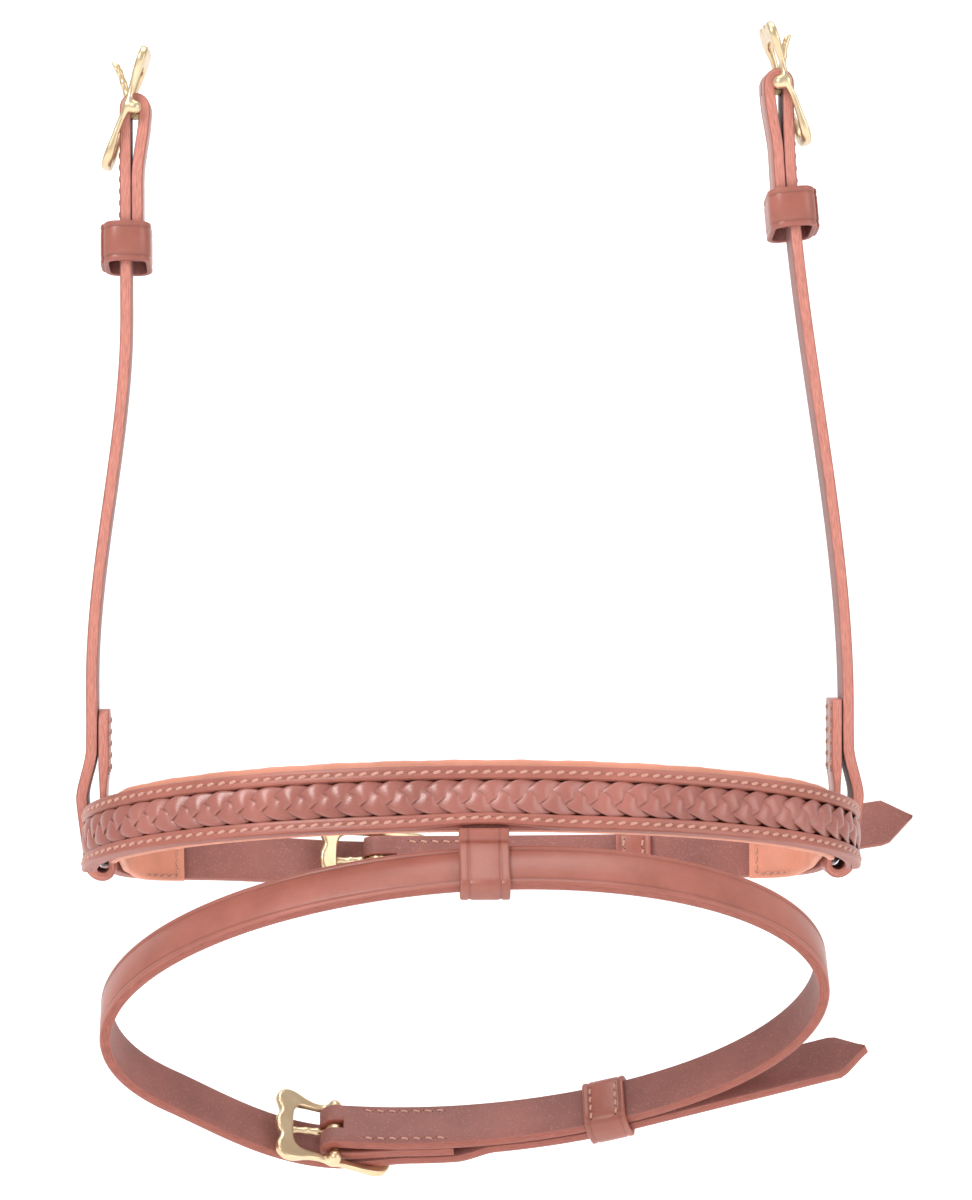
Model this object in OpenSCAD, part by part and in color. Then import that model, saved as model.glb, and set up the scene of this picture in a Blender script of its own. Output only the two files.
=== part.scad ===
/* [Noseband loop] */
// Half width of the nose loop, to the inner face of the core strap
half_w = 126.7; // [122:0.1:132]
// Depth of the curved front, from its middle to the sides
front_depth = 76; // [66:1:86]
// Straight run of each side, where the cheek strap loops round
side_run = 26; // [24:1:30]
// Depth of the back of the loop, behind the straight sides
back_depth = 30; // [28:1:34]
// Radius of the rear corners
corner_r = 24; // [20:1:26]
// Tilt of the nose loop, rear down
nose_tilt = 15; // [10:0.5:18]
// How far the chin strap and the lining's flaps stand above the front's own plane
rear_rise = 4; // [0:0.5:6]

/* [Front] */
// Height of the stitched front leather
face_h = 20.6; // [18:0.2:24]
// Height of the window that shows the plait
window_h = 11.4; // [9:0.2:12]
// Thickness of the core strap
base_t = 2; // [1.5:0.1:3]
// Thickness of the front leather at its rails
face_t = 3.2; // [2.5:0.1:4]
// Length of one scallop of the plait
plait_pitch = 7.9; // [6:0.1:10]
// Thickness of the lining pad over the nose
pad_t = 5; // [4:0.5:7]
// How far the lining stands above the front leather
pad_rise = 3; // [1:0.5:5]

/* [Straps] */
// Width of every strap
strap_w = 16; // [14:0.5:17]
// Thickness of the strap leather
strap_t = 3.8; // [3:0.1:4]
// Gap between two plies that lie together
ply_gap = 0.15; // [0.1:0.05:0.3]
// Length of the turned-back end at a buckle
turn_back = 40; // [30:1:44]
// Where the chin buckle's bar lies, from the middle
chin_bar_x = -31; // [-50:1:-20]
// Where the chin keeper lies, from the middle
chin_keeper_x = 66; // [50:1:80]

/* [Cheeks] */
// Height of the buckle bars above the origin, left and right
cheek_bar_z = [230, 239]; // [226:1:250]
// How far each cheek strap leans in at the top, left and right
cheek_lean = [12, 20.8]; // [0:0.1:26]
// Height where each strap starts to lean in
cheek_bend_from = [35, 25]; // [20:1:50]
// Height where each lean is complete
cheek_bend_to = [160, 235]; // [150:1:240]
// Height of the middle of each cheek keeper
cheek_keeper_z = [183, 195]; // [170:1:202]
// Height of the end of each stitched lap at the foot
lap_top_z = [26, 29]; // [15:1:40]

/* [Flash strap] */
// Half length of the flash loop, to the middle of the strap
flash_a = 119; // [110:1:128]
// Half depth of the flash loop
flash_b = 67; // [60:1:75]
// Tilt of the flash loop, rear down
flash_tilt = 46; // [40:0.5:50]
// Turn of the flash loop in its own plane
flash_turn = 7.4; // [0:0.1:10]
// How far the flash strap has run through its loop, to one side
flash_slide = -5.3; // [-8:0.1:8]
// Front of the flash strap, below and ahead of the origin
flash_front = [1, -13.6, -20.5]; // [-40:0.5:10]
// Where the flash buckle's bar lies along the loop
flash_bar_t = 245; // [240:0.5:255]
// Length of strap from the bar to the flash keeper's middle
flash_keeper_d = 102; // [80:1:110]
// Length of the pointed tail past the keeper
flash_tail = 83; // [60:1:95]

/* [Buckles] */
// Radius of a buckle's bar
bar_r = 1.3; // [1:0.05:1.6]
// Running clearance of leather and tongue round the bar
bar_gap = 0.08; // [0.05:0.01:0.1]
// Reach of the front loop, from the bar
reach_front = 21; // [18:0.5:24]
// Reach of the rear loop, from the bar
reach_rear = 23; // [20:0.5:26]
// How far the front loop's corners flare past the bar's ends
front_flare = 2.6; // [0:0.1:3.5]
// Radius of the tongue
tongue_r = 1.15; // [0.9:0.05:1.3]
// Length of the tongue, from the bar
tongue_len = 18; // [17:0.5:19]
// Lean of each frame from its strap
frame_lean = 19; // [17:0.5:20]
// How far the tongues of the empty cheek buckles stand open, left and right
tongue_open = [24, 13]; // [8:0.5:35]

/* [Hidden] */
$fn = 48;

LEATHER = "#8a4a3c";
LINING = "#d08a66";
BRASS = "#c9a255";
THREAD = "#e2b48c";

LEFT = 0;
RIGHT = 1;
SIDE = [-1, 1];

// Places along the nose loop, as distances back from the lining's inner face.
front_v = -pad_t + front_depth;
side_v = front_v + side_run;
nose_top = face_h / 2;
corner_x = half_w - corner_r;
back_r = (corner_x * corner_x / (back_depth - corner_r) + corner_r + back_depth) / 2;
back_v = side_v + back_depth - back_r;
back_angle = atan2(corner_x, back_r - back_depth);

// Where each cheek strap loops round the chin strap.
loop_v = front_v + side_run / 2;
loop_y = loop_v * cos(nose_tilt) + rear_rise * sin(nose_tilt);
loop_z = -loop_v * sin(nose_tilt) + rear_rise * cos(nose_tilt);
loop_gap = 0.35;
skived_t = 2.2;
loop_drop = 10.6;

// Two plies separate round a bar by this much, between their middles.
fold_r = bar_r + bar_gap + strap_t / 2;
ply_step = strap_t + ply_gap;
close_run = 24;

stitch_pitch = 4;
stitch_l = 2.7;
stitch_t = 0.7;
keeper_t = 1.9;
keeper_gap = 0.7;
tail_point = 9;

// ---- Paths: every entry is [x, y, outward x, outward y] in the plane of its loop ----

function unit2(p) = p / norm(p);
function smooth(u) = let (w = min(1, max(0, u))) w * w * (3 - 2 * w);

function front_arc(t0, t1, n) = [
    for (i = [0:n])
        let (t = t0 + (t1 - t0) * i / n, u = unit2([cos(t) / half_w, -sin(t) / front_depth]))
            [half_w * cos(t), front_v - front_depth * sin(t), u[0], u[1]]
];
function side_line(s, v0, v1, n) = [for (i = [0:n]) [s * half_w, v0 + (v1 - v0) * i / n, s, 0]];
function corner_arc(s, n) = [
    for (i = [0:n])
        let (a = (90 - back_angle) * i / n)
            [s * (corner_x + corner_r * cos(a)), side_v + corner_r * sin(a), s * cos(a), sin(a)]
];
function back_arc(x0, x1, n) = [
    for (i = [0:n])
        let (x = x0 + (x1 - x0) * i / n, a = asin(x / back_r))
            [x, back_v + back_r * cos(a), sin(a), cos(a)]
];
function rear_path(s, v0, x1, n) = concat(
    side_line(s, v0, side_v - 2, 6), corner_arc(s, 14), back_arc(s * (corner_x - 1), x1, n)
);

function flash_spin(p) = [
    p[0] * cos(flash_turn) + p[1] * sin(flash_turn),
    -p[0] * sin(flash_turn) + p[1] * cos(flash_turn)
];
// The flash strap hangs in its loop where x is zero.
flash_hang_t = atan2(flash_a * cos(flash_turn), flash_b * sin(flash_turn));
flash_hang = flash_spin([flash_a * cos(flash_hang_t), -flash_b * sin(flash_hang_t)]);
function flash_entry(t) = let (
    p = flash_spin([flash_a * cos(t), -flash_b * sin(t)]) - flash_hang + [flash_slide, 0],
    u = flash_spin(unit2([cos(t) / flash_a, -sin(t) / flash_b]))
) [p[0], p[1], u[0], u[1]];
// Past one full turn the strap laps over its own fold, and its tail runs on.
flash_step = 3;
flash_turn_steps = 360 / flash_step;
flash_lap_steps = 24;
flash_path = [for (i = [0:flash_turn_steps + flash_lap_steps]) flash_entry(flash_bar_t + flash_step * i)];

// Lookup tables that turn a distance along a path into an entry.
function travelled(path) = [
    for (i = 0, s = 0; i < len(path); i = i + 1,
        s = s + (i < len(path) ? norm([path[i][0] - path[i - 1][0], path[i][1] - path[i - 1][1]]) : 0)) s
];
function table(path) = let (s = travelled(path)) [
    for (k = [0:3]) [for (i = [0:len(path) - 1]) [s[i], path[i][k]]]
];
function span(tab) = tab[0][len(tab[0]) - 1][0];
function along(tab, d) = [for (k = [0:3]) lookup(d, tab[k])];
function shifted(e, o) = [e[0] + e[2] * o, e[1] + e[3] * o];
function seek_x(tab, x, lo, hi, n = 24) = n == 0 ? (lo + hi) / 2 : let (
    mid = (lo + hi) / 2,
    rising = lookup(hi, tab[0]) > lookup(lo, tab[0])
) (lookup(mid, tab[0]) < x) == rising ? seek_x(tab, x, mid, hi, n - 1) : seek_x(tab, x, lo, mid, n - 1);

// ---- Ribbons: leather bent along a line of points in the plane, then given its width ----

function reversed(list) = [for (i = [len(list) - 1:-1:0]) list[i]];
function heading(pts, i) = unit2(pts[min(len(pts) - 1, i + 1)] - pts[max(0, i - 1)]);
function thick_at(t, i) = is_list(t) ? t[i] : t;
function edge_pts(pts, t, s) = [
    for (i = [0:len(pts) - 1])
        let (h = heading(pts, i)) pts[i] + s * thick_at(t, i) / 2 * [-h[1], h[0]]
];
module ribbon(pts, t, w0, w1) {
    left = edge_pts(pts, t, 1);
    right = edge_pts(pts, t, -1);
    translate([0, 0, w0])
        linear_extrude(w1 - w0)
            polygon(concat(left, reversed(right)));
}
module band(path, inner, outer, w0, w1) {
    pts = [for (i = [0:len(path) - 1]) shifted(path[i], (thick_at(inner, i) + thick_at(outer, i)) / 2)];
    t = [for (i = [0:len(path) - 1]) thick_at(outer, i) - thick_at(inner, i)];
    ribbon(pts, t, w0, w1);
}

// A strap end turned round a bar: dir is the way that the turned-back end runs along the
// path, side is the way out of the path, and the bar lies at distance d.
function bar_at(tab, d, o, side) = shifted(along(tab, d), o + side * fold_r);
function turned_arc(tab, d, o, side, dir, n = 14) = let (
    e = along(tab, d),
    b = bar_at(tab, d, o, side),
    out = side * [e[2], e[3]],
    ahead = shifted(along(tab, d + dir), 0) - shifted(e, 0),
    apex = -unit2(ahead)
) [for (i = [1:n - 1]) let (a = 180 * i / n) b + fold_r * (-out * cos(a) + apex * sin(a))];
function turned_end(tab, d, o, side, dir, run, n = 16) = [
    for (i = [0:n])
        let (q = run * i / n, open = 1 - smooth(q / close_run))
            shifted(along(tab, d + dir * q), o + side * (ply_step + (2 * fold_r - ply_step) * open))
];

// The round hole for the bar, and the slot for the tongue.
slot_w = 4.4;
slot_ahead = 8;
slot_run = 17;
function turned_heading(tab, d) = let (e = along(tab, d)) [e[3], -e[2]];
// The slot starts at lo and is deep, so that it stops short of a tail that rides over the bar.
module bar_cuts(b, ahead, lo = -9, deep = 18) {
    translate([b[0], b[1], -strap_w])
        cylinder(r = bar_r + bar_gap, h = 2 * strap_w);
    translate([b[0], b[1], 0])
        rotate(atan2(ahead[1], ahead[0]))
            translate([-slot_ahead, lo, -slot_w / 2])
                cube([slot_run, deep, slot_w]);
}

module nose_frame() {
    rotate([-nose_tilt, 0, 0])
        children();
}
module rear_frame() {
    nose_frame()
        translate([0, 0, rear_rise])
            children();
}
module flash_frame() {
    translate(flash_front)
        rotate([-flash_tilt, 0, 0])
            children();
}

// ---- Stitches ----

module stitch() {
    rotate([0, 90, 0])
        cylinder(d = stitch_t, h = stitch_l, center = true, $fn = 16);
}
// A row of stitches along a path, at offset o and height w, from d0 to d1.
module stitch_row(tab, d0, d1, o, w) {
    n = floor((d1 - d0) / stitch_pitch);
    for (i = [0:n]) {
        d = d0 + (d1 - d0) * (i + 0.5) / (n + 1);
        e = along(tab, d);
        p = shifted(e, o);
        translate([p[0], p[1], w])
            rotate([0, 0, atan2(e[3], e[2]) - 90])
                stitch();
    }
}

// ---- Noseband front ----

face_path = front_arc(0, 180, 90);
face_tab = table(face_path);
face_run = span(face_tab);

module noseband_base() {
    color(LEATHER)
        nose_frame()
            band(face_path, 0, base_t, -nose_top + 0.4, nose_top - 0.4);
}

rail_t = base_t + face_t;
module noseband_face() {
    window_path = front_arc(3, 177, 88);
    color(LEATHER)
        nose_frame()
            difference() {
                band(face_path, base_t + 0.02, rail_t, -nose_top, nose_top);
                band(window_path, base_t - 0.5, rail_t + 1, -window_h / 2, window_h / 2);
            }
}

// Each scallop of the plait stands proud in the middle and dips to its ends.
plait_low = 1.5;
plait_high = 2.7;
module plait_row(shift, w0, w1) {
    first = 7.5;
    n = floor((face_run - 2 * first) / plait_pitch);
    steps = 6;
    ds = [for (i = [0:n * steps]) first + (face_run - 2 * first) * i / (n * steps)];
    path = [for (d = ds) along(face_tab, d)];
    tops = [
        for (i = [0:n * steps])
            base_t + 0.04 + plait_low + (plait_high - plait_low) * abs(sin(180 * (i / steps + shift)))
    ];
    band(path, base_t + 0.04, tops, w0, w1);
}
module plait() {
    half = window_h / 2 - 0.25;
    color(LEATHER)
        nose_frame() {
            plait_row(0, 0, half);
            plait_row(0.5, -half, 0);
        }
}

// ---- Lining: a padded front, and a thinner flap round each corner ----

flap_t = 3.4;
flap_shift = 3.1;
flap_end = 6.7;
flap_x = corner_x - flap_end;
lining_bottom = -nose_top - 1.2;
lining_top = nose_top + pad_rise;
skin_t = 1.3;
flap_start = 1.5;
function flap_path(s) = rear_path(s, front_v - flap_start, s * flap_x, 3);
// The flap passes inside the cheek loop, and meets the chin strap again at its end.
function lining_outer(e) = let (
    near_side = smooth((e[1] - front_v + 34) / 28),
    near_end = 1 - smooth((e[1] - side_v - 6) / 18)
) -0.02 - flap_shift * near_side * near_end;
function lining_inner(e) = lining_outer(e) - flap_t
    - (pad_t - flap_t) * (1 - smooth((e[1] - front_v + 40) / 30));
module lining_band(path) {
    band(path, [for (e = path) lining_inner(e)], [for (e = path) lining_outer(e)],
        lining_bottom, lining_top);
}
foam_t0 = 36;
module noseband_lining() {
    color(LINING) {
        nose_frame()
            difference() {
                lining_band(front_arc(1, 179, 90));
                foam_band(0.02, 1);
            }
        for (s = SIDE)
            rear_frame()
                lining_band(flap_path(s));
    }
}
module foam_band(grow, open) {
    path = front_arc(foam_t0 - grow, 180 - foam_t0 + grow, 50);
    band(path, -pad_t + skin_t - grow, -0.06 + open, lining_bottom + skin_t - grow,
        lining_top - skin_t + grow);
}
module lining_foam() {
    color("#e8d8b8")
        nose_frame()
            foam_band(0, 0);
}

// ---- Chin straps ----

chin_o = strap_t / 2 - 0.05;
chin_path_right = rear_path(1, front_v + 1.2, -60, 40);
chin_tab_right = table(chin_path_right);
chin_bar_d = seek_x(chin_tab_right, chin_bar_x, 60, span(chin_tab_right));
chin_path_left = rear_path(-1, front_v + 1.2, 88, 60);
chin_tab_left = table(chin_path_left);
chin_meet_d = seek_x(chin_tab_left, chin_bar_x, 60, span(chin_tab_left));
chin_keeper_d = seek_x(chin_tab_left, chin_keeper_x, 60, span(chin_tab_left));
chin_bar = bar_at(chin_tab_right, chin_bar_d, chin_o, 1);

// Offset of a strap that rides over the buckle's bar and lies on the plies behind it.
over_bar = 2 * fold_r + strap_t + 1.6;
on_plies = 2 * ply_step + 0.25;
on_strap = ply_step + 0.25;
rise_run = 60;
function ride_over(q) = q < 0
    ? over_bar * smooth(1 + q / rise_run)
    : q < turn_back
        ? on_plies + (over_bar - on_plies) * (1 - smooth(q / 26))
        : on_strap + (on_plies - on_strap) * (1 - smooth((q - turn_back) / 14));

module chin_strap_right() {
    n = 90;
    pts = concat(
        [for (i = [0:n]) shifted(along(chin_tab_right, chin_bar_d * i / n), chin_o)],
        turned_arc(chin_tab_right, chin_bar_d, chin_o, 1, -1),
        turned_end(chin_tab_right, chin_bar_d, chin_o, 1, -1, turn_back)
    );
    color(LEATHER)
        rear_frame()
            difference() {
                ribbon(pts, strap_t, -strap_w / 2, strap_w / 2);
                bar_cuts(chin_bar, [1, 0]);
            }
}

// The chin tail lifts out of the loop's plane past the keeper.
chin_tail = 92;
chin_tail_lift = 8;
module pointed_tail(run, lift) {
    shoulder = run - tail_point;
    rotate([0, -lift, 0])
        translate([-1, strap_t / 2, 0])
            rotate([90, 0, 0])
                linear_extrude(strap_t)
                    polygon([
                        [0, -strap_w / 2],
                        [shoulder, -strap_w / 2],
                        [run, 0.5],
                        [shoulder - 2, strap_w / 2],
                        [0, strap_w / 2]
                    ]);
}
module chin_strap_left() {
    n = 110;
    ds = [for (i = [0:n]) chin_keeper_d * i / n];
    pts = [for (d = ds) shifted(along(chin_tab_left, d), chin_o + ride_over(d - chin_meet_d))];
    end = pts[n];
    h = heading(pts, n);
    color(LEATHER)
        rear_frame() {
            ribbon(pts, strap_t, -strap_w / 2, strap_w / 2);
            translate([end[0], end[1], 0])
                rotate(atan2(h[1], h[0]))
                    pointed_tail(chin_tail, chin_tail_lift);
        }
}

// ---- Keepers: a leather runner round a stack of plies ----

// x runs along the strap, y is across the plies and z is across the strap.
module keeper(len, stack, wide) {
    hole_y = stack + 2 * keeper_gap;
    hole_z = wide + 2 * keeper_gap;
    difference() {
        cube([len, hole_y + 2 * keeper_t, hole_z + 2 * keeper_t], center = true);
        cube([len + 1, hole_y, hole_z], center = true);
    }
    // The runner's two ends are lapped on its outer side.
    translate([-len / 2, hole_y / 2 + keeper_t - 0.1, -hole_z / 2 + 3])
        cube([len, 1.3, hole_z - 6]);
}

module at_path(tab, d, o) {
    e = along(tab, d);
    p = shifted(e, o);
    translate([p[0], p[1], 0])
        rotate([0, 0, atan2(e[3], e[2]) - 90])
            children();
}

chin_keeper_len = 12.4;
// The keeper's lapped side rides on the tail, and its far side on the main ply.
keeper_stack = 2 * strap_t + 0.4;
keeper_o = on_strap / 2;
module chin_keeper() {
    color(LEATHER)
        rear_frame()
            at_path(chin_tab_left, chin_keeper_d - chin_keeper_len / 2 - 1, chin_o + keeper_o)
                keeper(chin_keeper_len, keeper_stack, strap_w);
}

// ---- Buckles: x points to the front loop, y is the outer side, z runs along the bar ----

window_w = strap_w / 2 + 0.8;
frame_half = window_w + 4;
frame_y = 3.3;
frame_t = 2.4;
hub_r = 2.9;
rear_wall = 3;
// The rear arms come in this far, and still clear the strap's edges.
rear_narrow = 0.4;
module buckle_outline() {
    // Three lobes make the scalloped front, and its arms narrow towards the bar.
    lobe_r = 5;
    front_half = frame_half + front_flare;
    for (z = [-front_half + lobe_r, 0, front_half - lobe_r])
        translate([reach_front - lobe_r, z])
            circle(r = lobe_r);
    polygon([
        [0, -window_w - 3.2],
        [reach_front - lobe_r, -front_half],
        [reach_front - lobe_r, front_half],
        [0, window_w + 3.2]
    ]);
    polygon([
        [0, -window_w - 3.2],
        [-reach_rear + 2, -window_w - 1.4],
        [-reach_rear, -window_w + 1],
        [-reach_rear, window_w - 1],
        [-reach_rear + 2, window_w + 1.4],
        [0, window_w + 3.2]
    ]);
}
module buckle_windows() {
    inner_r = 4;
    front_end = reach_front - 5.5;
    translate([2, -window_w])
        square([front_end - inner_r - 2, 2 * window_w]);
    translate([2, -window_w + inner_r])
        square([front_end - 2, 2 * (window_w - inner_r)]);
    for (s = SIDE)
        translate([front_end - inner_r, s * (window_w - inner_r)])
            circle(r = inner_r);
    translate([-reach_rear + rear_wall, -window_w + rear_narrow])
        square([reach_rear - rear_wall + 2.5, 2 * (window_w - rear_narrow)]);
    translate([-reach_rear + 9, -window_w])
        square([reach_rear - 6, 2 * window_w]);
}
module buckle_frame() {
    color(BRASS)
        rotate(-frame_lean) {
            translate([0, frame_y - frame_t / 2, 0])
                rotate([-90, 0, 0])
                    linear_extrude(frame_t)
                        difference() {
                            buckle_outline();
                            buckle_windows();
                        }
            for (s = SIDE)
                translate([0, 0, s * (window_w + 1.6)]) {
                    cylinder(r = hub_r, h = 3.2, center = true);
                    translate([-hub_r, 0, -1.6])
                        cube([2 * hub_r, frame_y, 3.2]);
                }
            cylinder(r = bar_r, h = 2 * window_w + 3, center = true);
        }
}
// The tongue's eye turns on the bar, and its prong points along x from a slightly thicker root.
eye_r = 2.85;
eye_w = 2.8;
root_len = 4;
root_r = tongue_r + 0.2;
module buckle_tongue(angle) {
    color(BRASS)
        rotate(angle)
            difference() {
                union() {
                    cylinder(r = eye_r, h = eye_w, center = true);
                    rotate([0, 90, 0]) {
                        cylinder(r = root_r, h = root_len);
                        cylinder(r = tongue_r, h = tongue_len);
                    }
                }
                cylinder(r = bar_r + bar_gap, h = 4 * eye_w, center = true);
            }
}
// A tongue that lies on its frame's front loop, as when the buckle is done up.
closed_tongue = 2;

// The rear straps run towards +x from their bars, so their front loops point to -x.
module at_chin_bar() {
    e = along(chin_tab_right, chin_bar_d);
    rear_frame()
        translate([chin_bar[0], chin_bar[1], 0])
            rotate([0, 0, atan2(e[3], e[2]) - 90])
                mirror([1, 0, 0])
                    children();
}
module chin_buckle_frame() {
    at_chin_bar()
        buckle_frame();
}
module chin_buckle_tongue() {
    at_chin_bar()
        buckle_tongue(closed_tongue);
}

// ---- Flash strap ----

flash_tab = table(flash_path);
// One full turn of the loop brings the strap back to its buckle.
flash_turn_d = flash_tab[0][flash_turn_steps][0];
flash_bar = bar_at(flash_tab, 0, 0, 1);

module flash_strap() {
    n = 200;
    d_end = flash_turn_d + flash_keeper_d;
    back = reversed(turned_end(flash_tab, 0, 0, 1, 1, turn_back));
    arc = reversed(turned_arc(flash_tab, 0, 0, 1, 1));
    loop = [
        for (i = [0:n])
            let (d = d_end * i / n)
                shifted(along(flash_tab, d), d < flash_turn_d / 2 ? 0 : ride_over(d - flash_turn_d))
    ];
    h = heading(loop, n);
    color(LEATHER)
        flash_frame() {
            difference() {
                ribbon(concat(back, arc, loop), strap_t, -strap_w / 2, strap_w / 2);
                bar_cuts(flash_bar, turned_heading(flash_tab, 0), -7, 12.8);
            }
            translate([loop[n][0], loop[n][1], 0])
                rotate(atan2(h[1], h[0]))
                    pointed_tail(flash_tail, 0);
        }
}
module at_flash_bar() {
    e = along(flash_tab, 0);
    flash_frame()
        translate([flash_bar[0], flash_bar[1], 0])
            rotate([0, 0, atan2(e[3], e[2]) - 90])
                mirror([1, 0, 0])
                    children();
}
module flash_buckle_frame() {
    at_flash_bar()
        buckle_frame();
}
module flash_buckle_tongue() {
    at_flash_bar()
        buckle_tongue(closed_tongue);
}
flash_keeper_len = 14.6;
module flash_keeper() {
    color(LEATHER)
        flash_frame()
            at_path(flash_tab, flash_keeper_d - flash_keeper_len / 2 - 1, keeper_o)
                keeper(flash_keeper_len, keeper_stack, strap_w);
}

// ---- Flash loop ----

loop_wide = 16.4;
loop_t = 2;
// The loop bends at its rounded neck, just under the noseband.
neck_y = -9.6;
neck_z = -11;
neck_r = 1.3;
module flash_loop() {
    gap_y = strap_t + 1.1;
    gap_z = strap_w + 1.2;
    color(LEATHER) {
        flash_frame()
            rotate([0, 0, loop_skew])
                difference() {
                    cube([loop_wide, gap_y + 2 * loop_t, gap_z + 2 * loop_t], center = true);
                    cube([loop_wide + 1, gap_y, gap_z], center = true);
                }
        translate([flash_front[0] - loop_wide / 2 + 0.5, neck_y, neck_z])
            rotate([0, 90, 0])
                cylinder(r = neck_r, h = loop_wide - 1);
    }
}
// Where the strap passes through the loop, once it has run to one side.
hang_t = flash_hang_t + flash_slide / flash_a * 180 / PI;
hang_entry = flash_entry(hang_t);
loop_skew = atan2(hang_entry[3], hang_entry[2]) + 90;

// ---- Cheek straps: their outlines lie in the x, z plane, and the strap's width is along y ----

foot_z = 20;
// How far out the middle of the main ply stands, for height z on side i.
foot_x = half_w + 2.3;
function cheek_x(i, z) =
    foot_x - cheek_lean[i] * smooth((z - cheek_bend_from[i]) / (cheek_bend_to[i] - cheek_bend_from[i]));
// The path runs up the main ply, and its outward side faces the head.
function cheek_path(i) = [
    for (k = [0:80])
        let (
            z = foot_z + (cheek_bar_z[i] + 4 - foot_z) * k / 80,
            dx = (cheek_x(i, z + 0.5) - cheek_x(i, z - 0.5)),
            u = unit2([-1, dx])
        ) [cheek_x(i, z), z, u[0], u[1]]
];
cheek_tabs = [for (i = [LEFT, RIGHT]) table(cheek_path(i))];
function seek_z(tab, z) = lookup(z, [for (k = [0:len(tab[0]) - 1]) [tab[1][k][1], tab[1][k][0]]]);
bar_d = [for (i = [LEFT, RIGHT]) seek_z(cheek_tabs[i], cheek_bar_z[i])];
cheek_bars = [for (i = [LEFT, RIGHT]) bar_at(cheek_tabs[i], bar_d[i], 0, 1)];
keeper_d = [for (i = [LEFT, RIGHT]) seek_z(cheek_tabs[i], cheek_keeper_z[i])];

// The lower end goes outside the chin strap, under it and up inside.
outer_x = half_w + strap_t - 0.05 + loop_gap + strap_t / 2;
inner_x = half_w - loop_gap - skived_t / 2;
turn_r = (outer_x - inner_x) / 2;
turn_z = loop_z - loop_drop;
function cheek_foot(i) = concat(
    [
        for (z = [lap_top_z[i]:-4:4])
            [shifted(along(cheek_tabs[i], seek_z(cheek_tabs[i], max(z, foot_z))), ply_step)[0], z]
    ],
    [for (z = [0, -6, -14, -22]) [inner_x, z]],
    [for (a = [180:15:360]) [(outer_x + inner_x) / 2 + turn_r * cos(a), turn_z + turn_r * sin(a)]],
    [for (z = [-24, -16, -8]) [outer_x, z]],
    [for (z = [-3:3:12]) [foot_x + (outer_x - foot_x) * (1 - smooth((z + 6) / 20)), z]]
);
function foot_thick(i) = let (n = len([for (z = [lap_top_z[i]:-4:4]) z])) concat(
    [for (k = [1:n]) strap_t - 0.2],
    [for (z = [0, -6, -14, -22]) skived_t],
    [for (a = [180:15:360]) skived_t + (strap_t - skived_t) * (a - 180) / 180],
    [for (k = [1:3]) strap_t],
    [for (z = [-3:3:12]) strap_t]
);
module cheek_frame(i) {
    translate([0, loop_y, 0])
        mirror([1 - i, 0, 0])
            rotate([90, 0, 0])
                children();
}
module cheek_strap(i) {
    tab = cheek_tabs[i];
    n = 60;
    foot = cheek_foot(i);
    main = [for (k = [0:n]) shifted(along(tab, bar_d[i] * k / n), 0)];
    arc = turned_arc(tab, bar_d[i], 0, 1, -1);
    // The turned-back ply ends inside the keeper.
    back = turned_end(tab, bar_d[i], 0, 1, -1, bar_d[i] - keeper_d[i] + 4);
    e = along(tab, bar_d[i]);
    color(LEATHER)
        cheek_frame(i)
            difference() {
                ribbon(concat(foot, main, arc, back),
                    concat(foot_thick(i), [for (k = [1:len(main) + len(arc) + len(back)]) strap_t]),
                    -strap_w / 2, strap_w / 2);
                bar_cuts(cheek_bars[i], [e[3], -e[2]]);
            }
}
module cheek_strap_left() {
    cheek_strap(LEFT);
}
module cheek_strap_right() {
    cheek_strap(RIGHT);
}

// A cheek buckle's front loop points up, and its outer side faces away from the head.
module at_cheek_bar(i) {
    e = along(cheek_tabs[i], bar_d[i]);
    cheek_frame(i)
        translate([cheek_bars[i][0], cheek_bars[i][1], 0])
            rotate([0, 0, atan2(e[3], e[2]) - 90])
                mirror([0, 1, 0])
                    children();
}
module cheek_buckle_frame_left() {
    at_cheek_bar(LEFT)
        buckle_frame();
}
module cheek_buckle_frame_right() {
    at_cheek_bar(RIGHT)
        buckle_frame();
}
module cheek_buckle_tongue_left() {
    at_cheek_bar(LEFT)
        buckle_tongue(tongue_open[LEFT]);
}
module cheek_buckle_tongue_right() {
    at_cheek_bar(RIGHT)
        buckle_tongue(tongue_open[RIGHT]);
}

cheek_keeper_len = 13.4;
// The cheek keepers hold two plies, with room left for the mating strap.
cheek_stack = 2 * strap_t + 3.4;
module cheek_keeper(i) {
    color(LEATHER)
        cheek_frame(i)
            at_path(cheek_tabs[i], keeper_d[i], (ply_step - 3) / 2)
                mirror([0, 1, 0])
                    keeper(cheek_keeper_len, cheek_stack, strap_w);
}
module cheek_keeper_left() {
    cheek_keeper(LEFT);
}
module cheek_keeper_right() {
    cheek_keeper(RIGHT);
}

// ---- Stitch groups ----

rail_mid = (window_h / 2 + nose_top) / 2;
module face_stitches(w) {
    color(THREAD)
        nose_frame()
            stitch_row(face_tab, 1.5, face_run - 1.5, rail_t + 0.1, w);
}
module stitches_face_top() {
    face_stitches(rail_mid);
}
module stitches_face_bottom() {
    face_stitches(-rail_mid);
}

module lining_stitches(s) {
    tab = table(rear_path(s, side_v - 4, s * flap_x, 4));
    run = span(tab);
    color(THREAD)
        rear_frame() {
            stitch_row(tab, run - 24, run - 2, -flap_t - 0.2, lining_top - 3);
            e = along(tab, run - 2.2);
            p = shifted(e, -flap_t - 0.2);
            for (w = [lining_bottom + 4:stitch_pitch:lining_top - 5])
                translate([p[0], p[1], w])
                    rotate([0, 90, 0])
                        stitch();
        }
}
module stitches_lining_left() {
    lining_stitches(-1);
}
module stitches_lining_right() {
    lining_stitches(1);
}

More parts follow.
